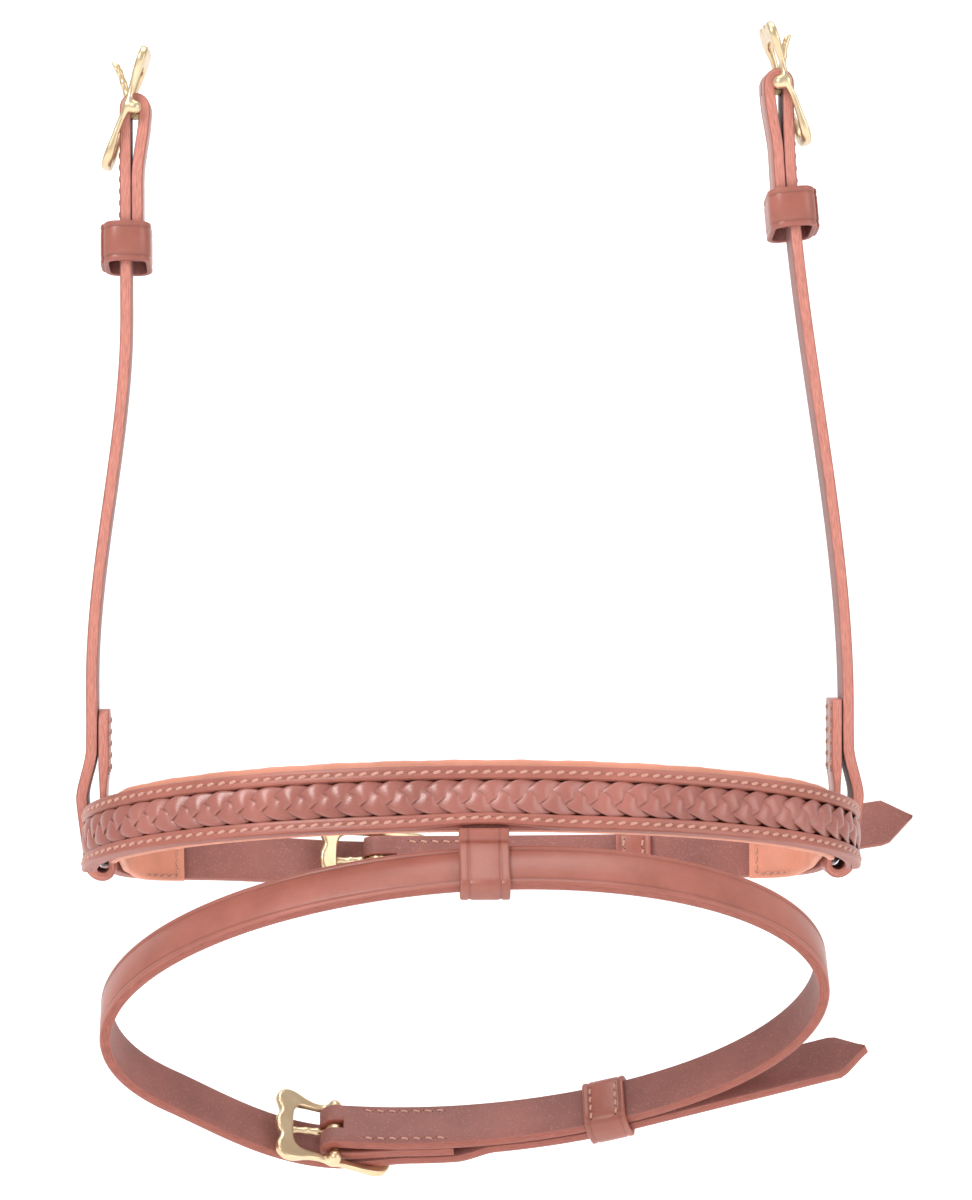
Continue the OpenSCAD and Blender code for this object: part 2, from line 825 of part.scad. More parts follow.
fold_row_w = strap_w / 2 - 2.2;
module stitches_chin_fold() {
    color(THREAD)
        rear_frame()
            for (s = SIDE)
                stitch_row(chin_tab_right, chin_bar_d - turn_back + 2, chin_bar_d - 10,
                    chin_o - strap_t / 2 - 0.1, s * fold_row_w);
}
module stitches_flash_fold() {
    color(THREAD)
        flash_frame()
            for (s = SIDE)
                stitch_row(flash_tab, 10, turn_back - 2, -strap_t / 2 - 0.1, s * fold_row_w);
}

// Two columns of stitches close each lapped keeper.
module keeper_stitches(len, stack) {
    y = -(stack / 2 + keeper_gap + keeper_t + 0.1);
    for (s = SIDE)
        for (w = [-6:stitch_pitch:6])
            translate([s * (len / 2 - 2.4), y, w])
                rotate([0, 90, 0])
                    stitch();
}
module stitches_chin_keeper() {
    color(THREAD)
        rear_frame()
            at_path(chin_tab_left, chin_keeper_d - chin_keeper_len / 2 - 1, chin_o + keeper_o)
                keeper_stitches(chin_keeper_len, keeper_stack);
}
module stitches_flash_keeper() {
    color(THREAD)
        flash_frame()
            at_path(flash_tab, flash_keeper_d - flash_keeper_len / 2 - 1, keeper_o)
                keeper_stitches(flash_keeper_len, keeper_stack);
}

// Two rows hold the turned-back plies at the top of each cheek strap.
module cheek_fold_stitches(i) {
    color(THREAD)
        cheek_frame(i)
            for (s = SIDE)
                stitch_row(cheek_tabs[i], keeper_d[i] + 9, bar_d[i] - 10, -strap_t / 2 - 0.1,
                    s * fold_row_w);
}
module stitches_cheek_fold_left() {
    cheek_fold_stitches(LEFT);
}
module stitches_cheek_fold_right() {
    cheek_fold_stitches(RIGHT);
}
module cheek_loop_stitches(i) {
    x = shifted(along(cheek_tabs[i], 2), ply_step)[0] - (strap_t - 0.2) / 2 - 0.1;
    color(THREAD)
        cheek_frame(i)
            for (s = SIDE)
                for (z = [5:stitch_pitch:lap_top_z[i] - 2])
                    translate([x, z, s * fold_row_w])
                        rotate([0, 0, 90])
                            stitch();
}
module stitches_cheek_loop_left() {
    cheek_loop_stitches(LEFT);
}
module stitches_cheek_loop_right() {
    cheek_loop_stitches(RIGHT);
}

noseband_base();
noseband_face();
plait();
lining_foam();
noseband_lining();
flash_loop();
chin_strap_left();
chin_strap_right();
chin_buckle_frame();
chin_buckle_tongue();
chin_keeper();
cheek_strap_left();
cheek_strap_right();
cheek_buckle_frame_left();
cheek_buckle_frame_right();
cheek_buckle_tongue_left();
cheek_buckle_tongue_right();
cheek_keeper_left();
cheek_keeper_right();
flash_strap();
flash_buckle_frame();
flash_buckle_tongue();
flash_keeper();
stitches_face_top();
stitches_face_bottom();
stitches_lining_left();
stitches_lining_right();
stitches_chin_fold();
stitches_chin_keeper();
stitches_cheek_fold_left();
stitches_cheek_fold_right();
stitches_cheek_loop_left();
stitches_cheek_loop_right();
stitches_flash_fold();
stitches_flash_keeper();
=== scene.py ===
"""Looks of a flash noseband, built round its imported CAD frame. Lengths are in mm until a mesh is made."""
import math

import bmesh
import bpy
import numpy as np
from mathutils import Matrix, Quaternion, Vector


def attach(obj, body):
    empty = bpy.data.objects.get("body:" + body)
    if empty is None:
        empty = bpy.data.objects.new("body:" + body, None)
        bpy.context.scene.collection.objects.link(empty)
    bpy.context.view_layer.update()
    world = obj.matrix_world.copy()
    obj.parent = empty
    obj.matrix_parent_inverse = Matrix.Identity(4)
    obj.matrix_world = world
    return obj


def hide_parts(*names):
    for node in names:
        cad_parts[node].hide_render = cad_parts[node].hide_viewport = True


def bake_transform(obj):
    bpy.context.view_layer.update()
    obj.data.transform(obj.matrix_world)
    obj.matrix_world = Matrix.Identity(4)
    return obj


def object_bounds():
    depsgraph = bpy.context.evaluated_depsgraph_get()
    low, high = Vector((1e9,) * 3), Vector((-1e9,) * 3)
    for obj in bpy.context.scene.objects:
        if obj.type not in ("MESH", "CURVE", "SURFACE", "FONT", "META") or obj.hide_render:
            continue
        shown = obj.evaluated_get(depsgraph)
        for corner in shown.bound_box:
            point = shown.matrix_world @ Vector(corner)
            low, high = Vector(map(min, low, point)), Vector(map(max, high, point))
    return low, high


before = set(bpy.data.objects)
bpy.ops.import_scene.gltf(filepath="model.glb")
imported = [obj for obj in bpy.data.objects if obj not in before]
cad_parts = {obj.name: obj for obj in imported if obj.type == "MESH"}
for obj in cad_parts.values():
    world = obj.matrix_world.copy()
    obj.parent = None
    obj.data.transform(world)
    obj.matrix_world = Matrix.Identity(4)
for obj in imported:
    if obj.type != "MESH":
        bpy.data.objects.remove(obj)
cad_lo, cad_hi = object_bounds()
MM = 0.001
rad = math.radians

# ---- driving dimensions, as in the CAD
HALF_W, FRONT_DEPTH, SIDE_RUN, BACK_DEPTH, CORNER_R, NOSE_TILT, REAR_RISE = 126.7, 76, 26, 30, 24, 15, 4.0
FACE_H, WINDOW_H, BASE_T, FACE_T, PLAIT_PITCH, PAD_T, PAD_RISE = 20.6, 11.4, 2.0, 3.2, 7.9, 5.0, 3.0
STRAP_W, STRAP_T, PLY_GAP, TURN_BACK = 16.0, 3.8, 0.15, 40.0
CHIN_BAR_X, CHIN_KEEPER_X, CHIN_TAIL, CHIN_TAIL_LIFT, TAIL_POINT = -31.0, 66.0, 92.0, 8.0, 9.0
CHEEK_BAR_Z, CHEEK_LEAN = (230.0, 239.0), (12.0, 20.8)
BEND_FROM, BEND_TO = (35.0, 25.0), (160.0, 235.0)
CHEEK_KEEPER_Z, LAP_TOP_Z = (183.0, 195.0), (26.0, 29.0)
FLASH_A, FLASH_B, FLASH_TILT, FLASH_TURN, FLASH_SLIDE = 119.0, 67.0, 46.0, 7.4, -5.3
FLASH_FRONT, FLASH_BAR_T, FLASH_KEEPER_D, FLASH_TAIL = (1.0, -13.6, -20.5), 245.0, 102.0, 83.0
BAR_R, BAR_GAP, REACH_FRONT, REACH_REAR, TONGUE_LEN = 1.3, 0.08, 21.0, 23.0, 18.0
FRAME_LEAN, TONGUE_OPEN, CLOSED_TONGUE = 19.0, (24.0, 13.0), 2.0

FRONT_V = -PAD_T + FRONT_DEPTH
SIDE_V = FRONT_V + SIDE_RUN
NOSE_TOP = FACE_H / 2
CORNER_X = HALF_W - CORNER_R
BACK_R = (CORNER_X ** 2 / (BACK_DEPTH - CORNER_R) + CORNER_R + BACK_DEPTH) / 2
BACK_V = SIDE_V + BACK_DEPTH - BACK_R
BACK_ANGLE = math.degrees(math.atan2(CORNER_X, BACK_R - BACK_DEPTH))
LOOP_V = FRONT_V + SIDE_RUN / 2
LOOP_Y = LOOP_V * math.cos(rad(NOSE_TILT)) + REAR_RISE * math.sin(rad(NOSE_TILT))
LOOP_Z = -LOOP_V * math.sin(rad(NOSE_TILT)) + REAR_RISE * math.cos(rad(NOSE_TILT))
FOLD_R = BAR_R + BAR_GAP + STRAP_T / 2
PLY = STRAP_T + PLY_GAP
HALF_S = STRAP_W / 2
SLOT_RUN, SLOT_HALF, SIDE_LEAN = 3.6, 1.5, 7.6


# ---- small maths
def arr(*v):
    return np.array(v, float)


def unit(v):
    v = np.asarray(v, float)
    return v / np.maximum(np.linalg.norm(v, axis=-1, keepdims=True), 1e-12)


def smooth(u):
    u = np.clip(u, 0.0, 1.0)
    return u * u * (3 - 2 * u)


def distances(p):
    """How far along a line each of its points is."""
    return np.concatenate([[0], np.cumsum(np.linalg.norm(np.diff(p, axis=0), axis=1))])


class Plane:
    """A planar loop's frame: x and y run in the loop's plane and w along its axis."""

    def __init__(self, origin, ex, ey, ew):
        self.o, self.m = arr(*origin), np.array([ex, ey, ew], float)

    def at(self, x, y, w=0.0):
        x, y, w = np.broadcast_arrays(np.asarray(x, float), np.asarray(y, float), np.asarray(w, float))
        return self.o + np.stack([x, y, w], -1) @ self.m

    def way(self, x, y, w=0.0):
        return self.at(x, y, w) - self.o


def tilted(origin, tilt):
    c, s = math.cos(rad(tilt)), math.sin(rad(tilt))
    return Plane(origin, (1, 0, 0), (0, c, -s), (0, s, c))


NOSE = tilted((0, 0, 0), NOSE_TILT)
REAR = tilted(NOSE.at(0, 0, REAR_RISE), NOSE_TILT)
FLASH = tilted(FLASH_FRONT, FLASH_TILT)
SIDE = (-1, 1)
CHEEK = [Plane((0, LOOP_Y, 0), (s, 0, 0), (0, 0, 1), (0, -1, 0)) for s in SIDE]
NAMES = ("left", "right")


class Path:
    """A line in a plane, with its outward direction at each point, looked up by distance."""

    def __init__(self, pts, out):
        self.p, self.u = np.asarray(pts, float), unit(out)
        self.s = distances(self.p)
        self.length = self.s[-1]

    def at(self, d, o=0.0):
        d = np.asarray(d, float)
        p = np.stack([np.interp(d, self.s, self.p[:, k]) for k in (0, 1)], -1)
        return p + self.out(d) * np.asarray(o, float)[..., None]

    def out(self, d):
        return unit(np.stack([np.interp(d, self.s, self.u[:, k]) for k in (0, 1)], -1))

    def find(self, k, value, lo=0.0):
        ds = np.linspace(lo, self.length, 4000)
        return ds[np.argmin(np.abs(self.at(ds)[:, k] - value))]


def front_path(a0=0.0, a1=180.0):
    t = np.radians(np.linspace(a0, a1, 720))
    return Path(np.stack([HALF_W * np.cos(t), FRONT_V - FRONT_DEPTH * np.sin(t)], 1),
                np.stack([np.cos(t) / HALF_W, -np.sin(t) / FRONT_DEPTH], 1))


def rear_points(s, v0, x1):
    v = np.linspace(v0, SIDE_V, 30)[:-1]
    a = np.radians(np.linspace(0, 90 - BACK_ANGLE, 60))
    x = np.linspace(s * (CORNER_X - 1), x1, 300)
    b = np.arcsin(x / BACK_R)
    pts = np.concatenate([
        np.stack([np.full_like(v, s * HALF_W), v], 1),
        np.stack([s * (CORNER_X + CORNER_R * np.cos(a)), SIDE_V + CORNER_R * np.sin(a)], 1),
        np.stack([x, BACK_V + BACK_R * np.cos(b)], 1)])
    out = np.concatenate([
        np.stack([np.full_like(v, s), np.zeros_like(v)], 1),
        np.stack([s * np.cos(a), np.sin(a)], 1),
        np.stack([np.sin(b), np.cos(b)], 1)])
    return pts, out


def flash_spin(x, y):
    c, s = math.cos(rad(FLASH_TURN)), math.sin(rad(FLASH_TURN))
    return np.stack([x * c + y * s, -x * s + y * c], -1)


FLASH_HANG_T = math.atan2(FLASH_A * math.cos(rad(FLASH_TURN)), FLASH_B * math.sin(rad(FLASH_TURN)))
FLASH_HANG = flash_spin(FLASH_A * math.cos(FLASH_HANG_T), -FLASH_B * math.sin(FLASH_HANG_T))


def flash_path(a0, a1):
    t = np.radians(np.linspace(a0, a1, 2600))
    p = flash_spin(FLASH_A * np.cos(t), -FLASH_B * np.sin(t)) - FLASH_HANG + arr(FLASH_SLIDE, 0)
    return Path(p, flash_spin(np.cos(t) / FLASH_A, -np.sin(t) / FLASH_B))


def turned_back(path, d, o, way, run):
    """A strap's end from where it starts round a bar: the half turn, and the run that lies behind."""
    e, u = path.at(d), path.out(d)
    a = np.linspace(0, math.pi, 26)[1:-1, None]
    apex = -unit(path.at(d + way) - e)
    q = np.linspace(0, run, 40)
    spread = (2 * FOLD_R - PLY) * (1 - smooth(q / 24.0))
    return np.concatenate([e + u * (o + FOLD_R) + FOLD_R * (apex * np.sin(a) - u * np.cos(a)),
                           path.at(d + way * q, o + PLY + spread)])


OVER_BAR, ON_PLIES, ON_STRAP = 2 * FOLD_R + STRAP_T + 1.6, 2 * PLY + 0.25, PLY + 0.25


def ride_over(q):
    """How far out a strap lies where it rides over the buckle's bar and on the plies behind it."""
    q = np.asarray(q, float)
    rise = OVER_BAR * smooth(1 + q / 60)
    plies = ON_PLIES + (OVER_BAR - ON_PLIES) * (1 - smooth(q / 26))
    single = ON_STRAP + (ON_PLIES - ON_STRAP) * (1 - smooth((q - TURN_BACK) / 14))
    return np.where(q < 0, rise, np.where(q < TURN_BACK, plies, single))


# ---- materials
class Shader:
    """A short way to write a node material."""

    def __init__(self, name):
        self.mat = bpy.data.materials.new(name)
        self.mat.use_nodes = True
        self.t = self.mat.node_tree
        self.t.nodes.clear()
        self.out = self.t.nodes.new("ShaderNodeOutputMaterial")
        self.bsdf = self.t.nodes.new("ShaderNodeBsdfPrincipled")
        self.t.links.new(self.bsdf.outputs[0], self.out.inputs[0])

    def put(self, socket, value):
        if isinstance(value, bpy.types.NodeSocket):
            self.t.links.new(value, socket)
        elif socket.type == "RGBA":
            socket.default_value = (*value, 1.0)
        else:
            socket.default_value = value

    def set(self, **values):
        for k, v in values.items():
            self.put(self.bsdf.inputs[k.replace("_", " ")], v)

    def attribute(self, name, kind):
        n = self.t.nodes.new("ShaderNodeAttribute")
        n.attribute_name = name
        return n.outputs[kind]

    def maths(self, op, a, b, clamp=False):
        n = self.t.nodes.new("ShaderNodeMath")
        n.operation, n.use_clamp = op, clamp
        self.put(n.inputs[0], a)
        self.put(n.inputs[1], b)
        return n.outputs[0]

    def mix(self, fac, a, b):
        n = self.t.nodes.new("ShaderNodeMix")
        n.data_type = "RGBA"
        for i, v in ((0, fac), (6, a), (7, b)):
            self.put(n.inputs[i], v)
        return n.outputs[2]

    def ramp(self, value, start, end):
        """Maps a value along a straight run between two (position, height) pairs, level outside it."""
        n = self.t.nodes.new("ShaderNodeMapRange")
        (a, fa), (b, fb) = start, end
        for i, v in enumerate((value, a, b, fa, fb)):
            self.put(n.inputs[i], v)
        return n.outputs[0]

    def stretched(self, vector, scale):
        n = self.t.nodes.new("ShaderNodeMapping")
        self.put(n.inputs[0], vector)
        n.inputs[3].default_value = scale
        return n.outputs[0]

    def noise(self, vector, scale, detail=3.0, rough=0.55):
        n = self.t.nodes.new("ShaderNodeTexNoise")
        self.put(n.inputs["Vector"], vector)
        for k, v in (("Scale", scale), ("Detail", detail), ("Roughness", rough)):
            n.inputs[k].default_value = v
        return n.outputs[0]

    def cells(self, vector, scale):
        n = self.t.nodes.new("ShaderNodeTexVoronoi")
        self.put(n.inputs["Vector"], vector)
        n.inputs["Scale"].default_value = scale
        return n.outputs[0]

    def bump(self, height, distance, strength=1.0, normal=None):
        n = self.t.nodes.new("ShaderNodeBump")
        self.put(n.inputs["Height"], height)
        n.inputs["Distance"].default_value, n.inputs["Strength"].default_value = distance, strength
        if normal is not None:
            self.put(n.inputs["Normal"], normal)
        return n.outputs[0]

    def place(self):
        return self.t.nodes.new("ShaderNodeTexCoord").outputs["Object"]

    def split(self, colour):
        n = self.t.nodes.new("ShaderNodeSeparateColor")
        self.put(n.inputs[0], colour)
        return n.outputs[:3]


def shade(colour, times, plus=0.0):
    return tuple(min(1, c * times + plus) for c in colour)


def leather(name, grain, flesh, edge, rough=0.36, coat=0.1, pores=1.0):
    """Bridle leather: its colour attribute holds how far a point is a cut edge (red), flesh side (green) and in
    painted shade for a recess (blue).
    """
    s = Shader(name)
    cut, back, painted_shade = s.split(s.attribute("wear", "Color"))
    here = s.place()
    cloud = s.noise(here, 34, 4, 0.6)
    mottle = s.noise(here, 240, 3, 0.6)
    fibre = s.noise(s.stretched(s.attribute("run", "Vector"), (260, 2600, 2600)), 1.0, 3, 0.6)
    speck = s.noise(here, 1500, 2, 0.7)
    pore = s.cells(here, 1700)
    light = shade(grain, 1.16, 0.008)
    top = s.mix(s.ramp(cloud, (0.34, 0.0), (0.68, 1.0)), shade(grain, 0.86), light)
    top = s.mix(s.ramp(mottle, (0.45, 0.0), (0.75, 0.22)), top, light)
    under = s.mix(s.ramp(cloud, (0.35, 0.0), (0.7, 1.0)), shade(flesh, 0.8), shade(flesh, 1.15))
    under = s.mix(s.ramp(speck, (0.58, 0.0), (0.72, 0.5)), under, shade(flesh, 1.9, 0.05))
    ragged = s.maths("ADD", cut, s.ramp(mottle, (0.3, -0.14), (0.7, 0.14)), clamp=True)
    rim = s.mix(s.ramp(fibre, (0.3, 0.0), (0.7, 1.0)), shade(edge, 0.72), shade(edge, 1.2, 0.01))
    colour = s.mix(back, top, under)
    colour = s.mix(s.ramp(ragged, (0.45, 0.0), (0.8, 1.0)), colour, rim)
    # painted shade: the blue channel darkens recesses, crease grooves and the plait's undersides towards near-black
    # brown
    s.set(Base_Color=s.mix(s.maths("MULTIPLY", painted_shade, 0.85), colour, (0.075, 0.022, 0.016)))
    matt = s.maths("MAXIMUM", s.maths("MULTIPLY", cut, 0.75), back)
    gloss = s.ramp(matt, (0.0, rough), (1.0, 0.62))
    s.set(Roughness=s.maths("ADD", gloss, s.ramp(cloud, (0.3, -0.05), (0.7, 0.07)), clamp=True))
    s.set(Coat_Weight=coat, Coat_Roughness=0.24, Specular_IOR_Level=0.38)
    coarse = s.bump(fibre, 0.00012, 0.5)
    fine = s.bump(s.ramp(pore, (0.0, 0.0), (0.55, 1.0)), 0.00003 * pores, 0.6, coarse)
    s.set(Normal=s.bump(speck, 0.00004, 0.7, fine))
    return s.mat


def thread(colour):
    s = Shader("thread")
    n = s.t.nodes.new("ShaderNodeTexWave")
    n.bands_direction = "DIAGONAL"
    s.put(n.inputs["Vector"], s.attribute("run", "Vector"))
    n.inputs["Scale"].default_value = 900
    n.inputs["Distortion"].default_value = 0.6
    # painted shade: the twist's grooves, low on the bump, are coloured darker than the plies
    s.set(Base_Color=s.mix(n.outputs[1], shade(colour, 0.72), shade(colour, 1.08)))
    s.set(Roughness=0.55, Normal=s.bump(n.outputs[1], 0.00008, 0.8), Sheen_Weight=0.15)
    return s.mat


def dark_hole():
    s = Shader("stitch_hole_shade")
    # painted shade: a near-black brown disc stands for the shadow inside each stitch hole
    painted_hole_shade = s.mix(s.noise(s.place(), 2200), (0.09, 0.027, 0.02), (0.15, 0.05, 0.037))
    s.set(Base_Color=painted_hole_shade, Roughness=0.9)
    return s.mat


def cast_brass():
    s = Shader("brass")
    here = s.place()
    cloud = s.noise(here, 90, 4, 0.6)
    fine = s.noise(here, 300, 3, 0.6)
    colour = s.mix(s.ramp(cloud, (0.35, 0.0), (0.7, 1.0)), (0.64, 0.49, 0.30), (0.74, 0.60, 0.40))
    s.set(Base_Color=colour, Metallic=1.0, Roughness=s.ramp(fine, (0.3, 0.3), (0.75, 0.38)),
          Normal=s.bump(cloud, 0.00005, 0.2))
    return s.mat


# the bridle's cut-edge colour: its own red-brown, darkened further as painted shade so that the edges facing down read
# as in shadow
GRAIN, FLESH, EDGE_AND_SHADE = (0.31, 0.098, 0.07), (0.245, 0.092, 0.076), (0.28, 0.07, 0.045)
BRIDLE = leather("bridle_leather", GRAIN, FLESH, EDGE_AND_SHADE)
PLAITED = leather("plait_leather", (0.30, 0.10, 0.077), FLESH, (0.50, 0.12, 0.07), rough=0.3, coat=0.35)
LINING = leather("lining_leather", (0.58, 0.235, 0.155), (0.5, 0.2, 0.135), (0.6, 0.225, 0.14),
                 rough=0.55, coat=0.0, pores=2.0)
CHEEK_LEATHER = leather("cheek_leather", GRAIN, (0.27, 0.115, 0.10), (0.50, 0.185, 0.14))
THREAD = thread((0.55, 0.275, 0.205))
HOLE = dark_hole()
BRASS = cast_brass()


# ---- meshes
def make_mesh(name, verts, faces, mats, run=None, wear=None, slots=None):
    """verts in mm; run is (along, out, across) in mm; the colour triple is (edge, flesh, painted shade of a recess).
    """
    me = bpy.data.meshes.new(name)
    me.from_pydata((np.asarray(verts) * MM).tolist(), [], [tuple(int(i) for i in f) for f in faces])
    n = len(me.vertices)
    run = np.zeros((n, 3)) if run is None else run
    me.attributes.new("run", "FLOAT_VECTOR", "POINT").data.foreach_set(
        "vector", (np.asarray(run, np.float32) * MM).ravel())
    # the colour triple per point: cut edge, flesh side, painted shade in recesses
    rgba = np.ones((n, 4), np.float32)
    rgba[:, :3] = 0 if wear is None else wear
    me.attributes.new("wear", "FLOAT_COLOR", "POINT").data.foreach_set("color", rgba.ravel())
    for m in mats:
        me.materials.append(m)
    if slots is not None:
        me.polygons.foreach_set("material_index", np.asarray(slots, np.int32))
    me.validate()
    me.update()
    me.polygons.foreach_set("use_smooth", np.ones(len(me.polygons), bool))
    me.set_sharp_from_angle(angle=rad(38))
    ob = bpy.data.objects.new(name, me)
    bpy.context.scene.collection.objects.link(ob)
    return ob


def fix_normals(ob, sharp=38):
    bm = bmesh.new()
    bm.from_mesh(ob.data)
    bmesh.ops.recalc_face_normals(bm, faces=bm.faces)
    bm.to_mesh(ob.data)
    bm.free()
    ob.data.set_sharp_from_angle(angle=rad(sharp))
    return ob


def lean_in(ob):
    """Leans the noseband's sides, and the straps looped round them, in towards the chin."""
    co = np.zeros(len(ob.data.vertices) * 3, np.float32)
    ob.data.vertices.foreach_get("co", co)
    co = co.reshape(-1, 3)
    y, z = co[:, 1] / MM, co[:, 2] / MM
    part = smooth((y - 56) / 16) * (1 - smooth((y - 100) / 16))
    co[:, 0] -= np.sign(co[:, 0]) * part * math.tan(rad(SIDE_LEAN)) * np.maximum(-4 - z, 0) * MM
    ob.data.vertices.foreach_set("co", co.ravel())
    ob.data.update()


def finish_piece(ob, body, slot, *nodes):
    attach(ob, body)
    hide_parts(*nodes)
    return ob


class Stuff:
    """Gathers closed lofts and small solids into one mesh."""

    def __init__(self):
        self.v, self.f, self.run, self.wear, self.slot, self.n = [], [], [], [], [], 0

    def loft(self, rings, run=None, wear=None, slot=0, closed=False):
        """rings is stations x points x 3; each ring is a closed outline."""
        rings = np.asarray(rings, float)
        m, k, _ = rings.shape
        faces = []
        for i in range(m if closed else m - 1):
            a, b = i * k, (i + 1) % m * k
            faces += [(a + j, a + (j + 1) % k, b + (j + 1) % k, b + j) for j in range(k)]
        if not closed:
            faces += [tuple(range(k))[::-1], tuple(range((m - 1) * k, m * k))]
        for kept, given in ((self.v, rings), (self.run, run), (self.wear, wear)):
            kept.append(np.zeros((m * k, 3)) if given is None else np.asarray(given, float).reshape(-1, 3))
        self.f += [tuple(i + self.n for i in f) for f in faces]
        self.slot += [slot] * len(faces)
        self.n += m * k

    def build(self, name, mats=(BRIDLE,)):
        run, wear = np.concatenate(self.run), np.concatenate(self.wear)
        return fix_normals(make_mesh(name, np.concatenate(self.v), self.f, mats, run, wear, self.slot))

    def piece(self, name, body, *nodes, mats=(BRIDLE,), slot="bridle_leather", lean=False):
        ob = self.build(name, mats)
        if lean:
            lean_in(ob)
        return finish_piece(ob, body, slot, *nodes)

    def sewn(self, name, body, node=None, lean=False):
        """A piece of thread with its holes, which stands for a node of stitches."""
        self.piece("thread_" + name, body, "stitches_" + (node or name), mats=(THREAD, HOLE), slot="thread", lean=lean)


# across a crease: offset from its middle, how deep it is cut, and how much painted shade darkens it
CREASE = ((-0.825, 0, 0), (-0.275, 0.75, 0.2), (0, 1, 0.35), (0.275, 0.75, 0.2), (0.825, 0, 0))
ROUNDED_WEAR = {0: 0.9, 30: 0.4, 60: 0.0, 90: 0.0}


def outline(half_t, lo, hi, r=0.75, creases=(2.0,), crease_deep=0.28, grain=1, sides=(1, 1)):
    """A strap's section at one station: points (o, w) with their edge, flesh and painted-shade values. grain is the
    side with the creases.
    """
    mid, half = (lo + hi) / 2, (hi - lo) / 2
    r = min(r, half * 0.8, half_t * 0.9)
    pts, wear = [], []

    def add(o, w, e, f, d=0.0):
        pts.append((o, w))
        wear.append((e, f, d))

    def corner(side, edge, inward, angles):
        for a in angles:
            e, f = (ROUNDED_WEAR[a], 0) if side == grain else (1.0 - a / 90 * 0.9, a / 90)
            add(side * (half_t - r + r * math.sin(rad(a))), edge + inward * (r - r * math.cos(rad(a))), e, f)

    inset = [(c + w, g, d) for c in creases for w, g, d in CREASE] or [(half * 0.4, 0, 0)]
    fits = half > max(i[0] for i in inset) + 0.3
    left = [(-half + i, g, d) for i, g, d in inset] if fits else [(-half * 0.5, 0, 0)] * len(inset)
    row = [(w, g * sides[0], d * sides[0]) for w, g, d in left] + [(0.0, 0, 0)]
    row += [(-w, g * sides[1], d * sides[1]) for w, g, d in reversed(left)]
    # the grain side's row, with painted shade in the crease grooves
    for w, g, d in row:
        add(grain * (half_t - (crease_deep * g if fits else 0)), mid + w, 0.0, 0.0, d)
    corner(grain, hi, -1, (90, 60, 30, 0))
    add(0.0, hi + 0.05, 1.0, 0)
    corner(-grain, hi, -1, (0, 45, 90))
    for w in (0.5, 0, -0.5):
        add(-grain * half_t, mid + w * half, 0, 1)
    corner(-grain, lo, 1, (90, 45, 0))
    add(0.0, lo - 0.05, 1.0, 0)
    corner(grain, lo, 1, (0, 30, 60, 90))
    return np.array(pts), np.array(wear)


def headings(p):
    return unit(np.gradient(p, axis=0))


def strap(stuff, plane, p, half_t, lo, hi, grain=1, lift=0.0, fold=None, **style):
    """Sweeps a strap along p, points in the plane. half_t, lo, hi and lift may vary along it.

    Where it folds round a bar, from distance fold on, two narrow strips leave a slot for the tongue.
    """
    s = distances(p)
    half_t, lo, hi, lift = (np.broadcast_to(np.asarray(v, float), s.shape) for v in (half_t, lo, hi, lift))
    if fold is not None:
        first, last = fold - SLOT_RUN, fold + math.pi * FOLD_R + SLOT_RUN
        at = np.sort(np.append(s[(np.abs(s - first) > 0.2) & (np.abs(s - last) > 0.2)], (first, last)))
        half_t, lo, hi, lift = (np.interp(at, s, v) for v in (half_t, lo, hi, lift))
        p = np.stack([np.interp(at, s, p[:, k]) for k in (0, 1)], 1)
        s = at
    h = headings(p)
    left = np.stack([-h[:, 1], h[:, 0]], 1)

    def sweep(keep, lo, hi, sides=(1, 1), ends=(1, 1)):
        rings, run, wear = [], [], []
        for i in keep:
            sec, w = outline(half_t[i], lo[i], hi[i], grain=grain, sides=sides, **style)
            xy = p[i] + left[i] * sec[:, :1]
            rings.append(plane.at(xy[:, 0], xy[:, 1], sec[:, 1] + lift[i]))
            run.append(np.stack([np.full(len(sec), s[i]), sec[:, 0], sec[:, 1]], 1))
            wear.append(w)
        wear = np.array(wear)
        wear[0, :, 0], wear[-1, :, 0] = np.where(ends[0], 1, wear[0, :, 0]), np.where(ends[1], 1, wear[-1, :, 0])
        stuff.loft(rings, np.array(run), wear)

    every = np.arange(len(p))
    if fold is None:
        sweep(every, lo, hi)
        return
    mid = np.full(len(p), SLOT_HALF)
    beside = every[(s >= first - 0.01) & (s <= last + 0.01)]
    sweep(every[s <= first + 0.01], lo, hi, ends=(1, 0))
    sweep(beside, mid, hi, sides=(0, 1), ends=(0, 0))
    sweep(beside, lo, -mid, sides=(1, 0), ends=(0, 0))
    sweep(every[s >= last - 0.01], lo, hi, ends=(0, 1))


def spaced(p, step):
    """The same line with points step mm apart, and closer where it turns sharply."""
    s, h, keep = distances(p), headings(p), [0]
    for i in range(1, len(p) - 1):
        turn = math.degrees(math.acos(np.clip(h[i] @ h[keep[-1]], -1, 1)))
        if s[i] - s[keep[-1]] >= step or turn > 9:
            keep.append(i)
    return p[keep + [len(p) - 1]]


